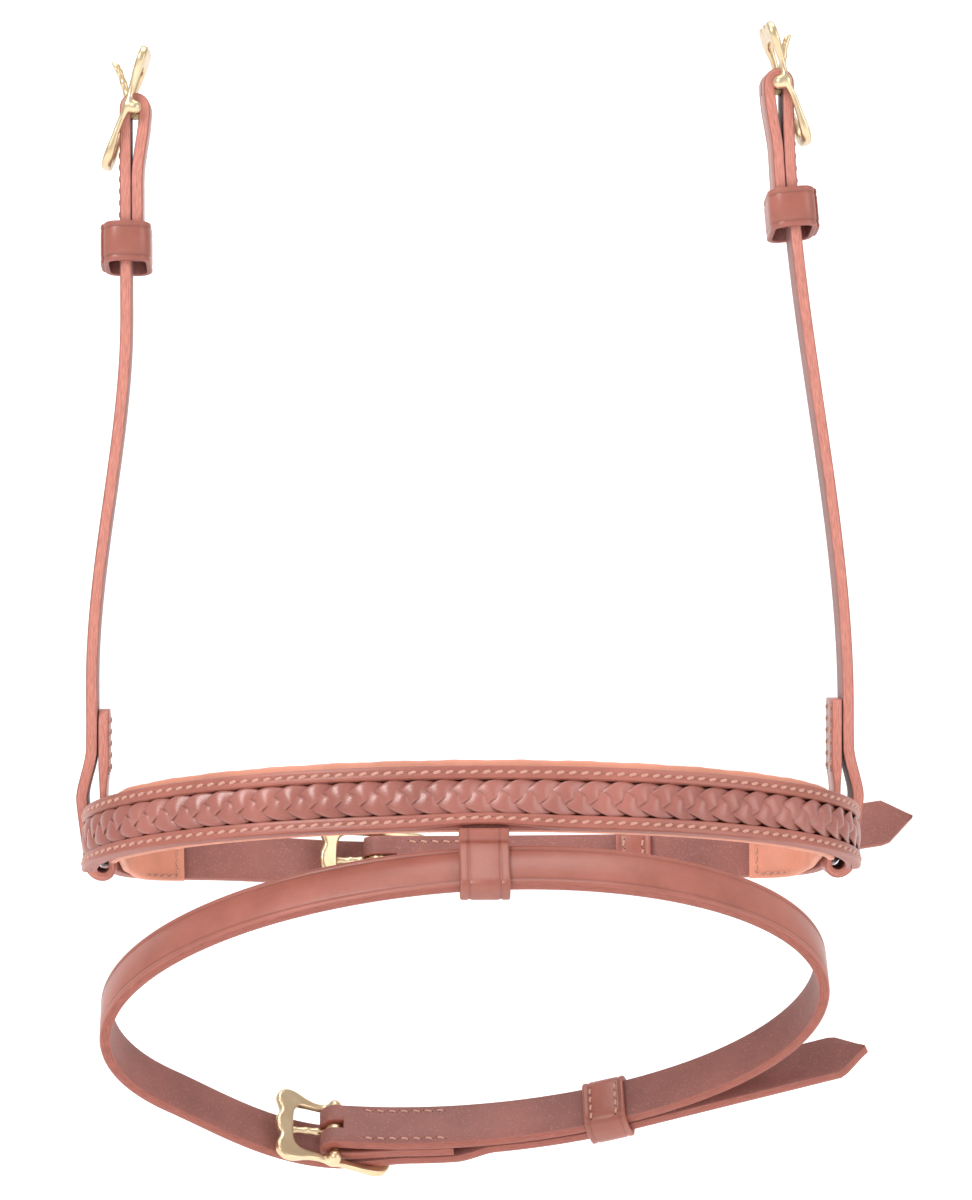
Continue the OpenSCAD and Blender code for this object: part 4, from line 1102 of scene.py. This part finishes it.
def frame_surface(step=0.38):
    """The cast frame: x to the front loop, y outwards, z along the bar."""
    P, origin = grid((-REACH_REAR - 1, -4.0, -16), (REACH_FRONT + 1, 6.0, 16), step)
    X, Z = P[:, 0, :, 0], P[:, 0, :, 2]
    flat = np.maximum(ring_distance(X, Z, FRAME_OUTER), -ring_distance(X, Z, FRAME_INNER))[:, None, :]
    x = P[..., 0]
    middle = 3.1 - 0.8 * np.exp(-(x / 4.5) ** 2)
    half = 1.05 + 0.35 * smooth((x - 6) / 8) + 0.55 * smooth((-x - 9) / 11)
    r = 0.95
    a, b = flat + r, np.abs(P[..., 1] - middle) - half + r
    v = np.minimum(np.maximum(a, b), 0) + np.sqrt(np.maximum(a, 0) ** 2 + np.maximum(b, 0) ** 2) - r
    for s in SIDE:
        hub = rod(P, (0, 0, s * (WINDOW_W + 1.6)), (0, 0, s * (WINDOW_W + 2.0)), 2.3, 2.3)
        neck = rod(P, (0, 0, s * (WINDOW_W + 1.8)), (0, 2.3, s * (WINDOW_W + 1.8)), 1.9, 1.8)
        v = blend_min(v, blend_min(hub, neck, 0.8), 1.4)
    v = np.maximum(v, WINDOW_W - 0.4 - np.abs(P[..., 2]) - 20 * (np.abs(x) > 4))
    bar = np.maximum(np.linalg.norm(P[..., :2], axis=-1) - BAR_R, np.abs(P[..., 2]) - (WINDOW_W + 1.5))
    return relax(*surface_nets(np.minimum(v, bar), origin, step))


def tongue_surface(curl, step=0.26):
    """The tongue: an eye round the bar, a prong, and a hooked tip."""
    P, origin = grid((-4, -4.2, -2.2), (TONGUE_LEN + 1.4, 4.2, 2.2), step)
    prong = [(-0.6, 2.2, 1.0), (1.6, 2.0, 1.15), (3.6, 1.2, 1.25), (6, 0.5, 1.15), (10, 0.1, 1.05),
             (14, 0.1 - 0.3 * curl, 0.98), (TONGUE_LEN - 2, -0.1 * curl, 0.92), (TONGUE_LEN - 0.7, 0.35 * curl, 0.8)]
    v = None
    for (x0, y0, r0), (x1, y1, r1) in zip(prong, prong[1:]):
        part = rod(P, (x0, y0, 0), (x1, y1, 0), r0, r1)
        v = part if v is None else blend_min(v, part, 0.9)
    r = np.linalg.norm(P[..., :2], axis=-1)
    eye = np.maximum(np.abs(r - (BAR_R + BAR_GAP + 1.0)) - 0.98, np.abs(P[..., 2]) - 1.3)
    v = blend_min(v, eye, 0.5)
    v = np.maximum(v, BAR_R + BAR_GAP - r)
    return relax(*surface_nets(v, origin, step))


def buckle_place(plane, centre, u, mirror_y):
    """Local x to the front loop, y to the outer side, z along the bar."""
    def turned(x, y, a):
        return x * math.cos(a) - y * math.sin(a), x * math.sin(a) + y * math.cos(a)

    def place(v, angle):
        x, y = turned(v[:, 0], v[:, 1], rad(angle))
        x, y = turned(*((x, -y) if mirror_y else (-x, y)), math.atan2(u[1], u[0]) - math.pi / 2)
        return plane.at(centre[0] + x, centre[1] + y, v[:, 2])

    return place


def build_buckles():
    frame_shape, shut, hooked = frame_surface(), tongue_surface(0.0), tongue_surface(1.0)
    where = [("chin", "", REAR, CHIN_BAR, CHIN_R.out(CHIN_BAR_D), shut, CLOSED_TONGUE),
             ("flash", "", FLASH, FLASH_BAR, FLASH_PATH.out(0.0), shut, CLOSED_TONGUE)]
    where += [("cheek", "_" + n, CHEEK[i], CHEEK_BARS[i], CHEEK_PATHS[i].out(CHEEK_BAR_D[i]), hooked, TONGUE_OPEN[i])
              for i, n in enumerate(NAMES)]
    for part, end, plane, centre, u, tongue, angle in where:
        place = buckle_place(plane, centre, u, mirror_y=tongue is hooked)
        for kind, body, node, (verts, faces), turn in (
                ("frame", "_buckle", "_buckle_frame", frame_shape, -FRAME_LEAN),
                ("tongue", "_tongue", "_buckle_tongue", tongue, angle)):
            ob = make_mesh("brass_" + kind + "_" + part + end, place(verts, turn), faces, [BRASS])
            finish_piece(fix_normals(ob, sharp=80), part + body + end, "brass", part + node + end)


# ---- stage, light and camera
def build_stage():
    paper = Shader("paper")
    paper.set(Base_Color=paper.mix(paper.noise(paper.place(), 3.0), (0.9,) * 3, (0.8955,) * 3), Roughness=0.9,
              Emission_Color=(1.0, 1.0, 1.0), Emission_Strength=0.42)
    floor_z, wall_y, bend, reach = cad_lo.z / MM - 110, 2600, 800, 4000
    a = np.radians(np.linspace(0, 90, 16))
    line = [(-reach, floor_z)] + [(wall_y + bend * math.sin(t), floor_z + bend * (1 - math.cos(t))) for t in a]
    line.append((wall_y + bend, floor_z + reach))
    n = len(line)
    verts = [(x, y, z) for x in (-reach, reach) for y, z in line]
    faces = [(j, j + 1, n + j + 1, n + j) for j in range(n - 1)]
    make_mesh("backdrop", verts, faces, [paper.mat])


def aimed(data, loc, ahead, roll=0.0):
    ob = bpy.data.objects.new(data.name, data)
    ob.location = loc
    ob.rotation_mode = "QUATERNION"
    ob.rotation_quaternion = Vector(ahead).to_track_quat("-Z", "Y") @ Quaternion((0, 0, 1), rad(roll))
    bpy.context.scene.collection.objects.link(ob)
    return ob


def build_light():
    world = bpy.data.worlds.new("studio")
    world.use_nodes = True
    bg = world.node_tree.nodes["Background"]
    bg.inputs[0].default_value = (1.0, 1.0, 1.0, 1.0)
    bg.inputs[1].default_value = 0.66
    bpy.context.scene.world = world
    for name, loc, target, size, power in (
            ("key", (-0.9, -1.1, 1.1), (0, 0, 0.02), (0.7, 0.7), 19),
            ("fill", (1.3, -0.9, 0.5), (0, 0, 0), (0.9, 0.9), 7),
            ("top", (0, 0.1, 1.5), (0, 0.05, 0), (1.0, 0.8), 10)):
        li = bpy.data.lights.new(name, "AREA")
        li.shape, li.size, li.size_y, li.energy = "RECTANGLE", *size, power
        aimed(li, loc, Vector(target) - Vector(loc))


CAM_AZ, CAM_EL, CAM_DIST, CAM_TARGET, CAM_ROLL = -2.234, 1.5, 1308.0, (2.1, 0.0, 65.2), -0.05
CAM_LENS, SENSOR = 121.83, 36.0


def build_camera():
    a, e = rad(CAM_AZ), rad(CAM_EL)
    ahead = arr(-math.sin(a) * math.cos(e), math.cos(a) * math.cos(e), -math.sin(e))
    cam = bpy.data.cameras.new("camera")
    cam.sensor_width, cam.lens = SENSOR, CAM_LENS
    cam.clip_start, cam.clip_end = 0.05, 20
    bpy.context.scene.camera = aimed(cam, (arr(*CAM_TARGET) - ahead * CAM_DIST) * MM, ahead, CAM_ROLL)


build_camera()
build_light()
build_stage()
build_front()
build_lining()
build_chin()
build_flash()
for i in (0, 1):
    build_cheek(i)
build_keepers()
build_flash_loop()
build_buckles()

bpy.context.scene.view_settings.view_transform = "Standard"
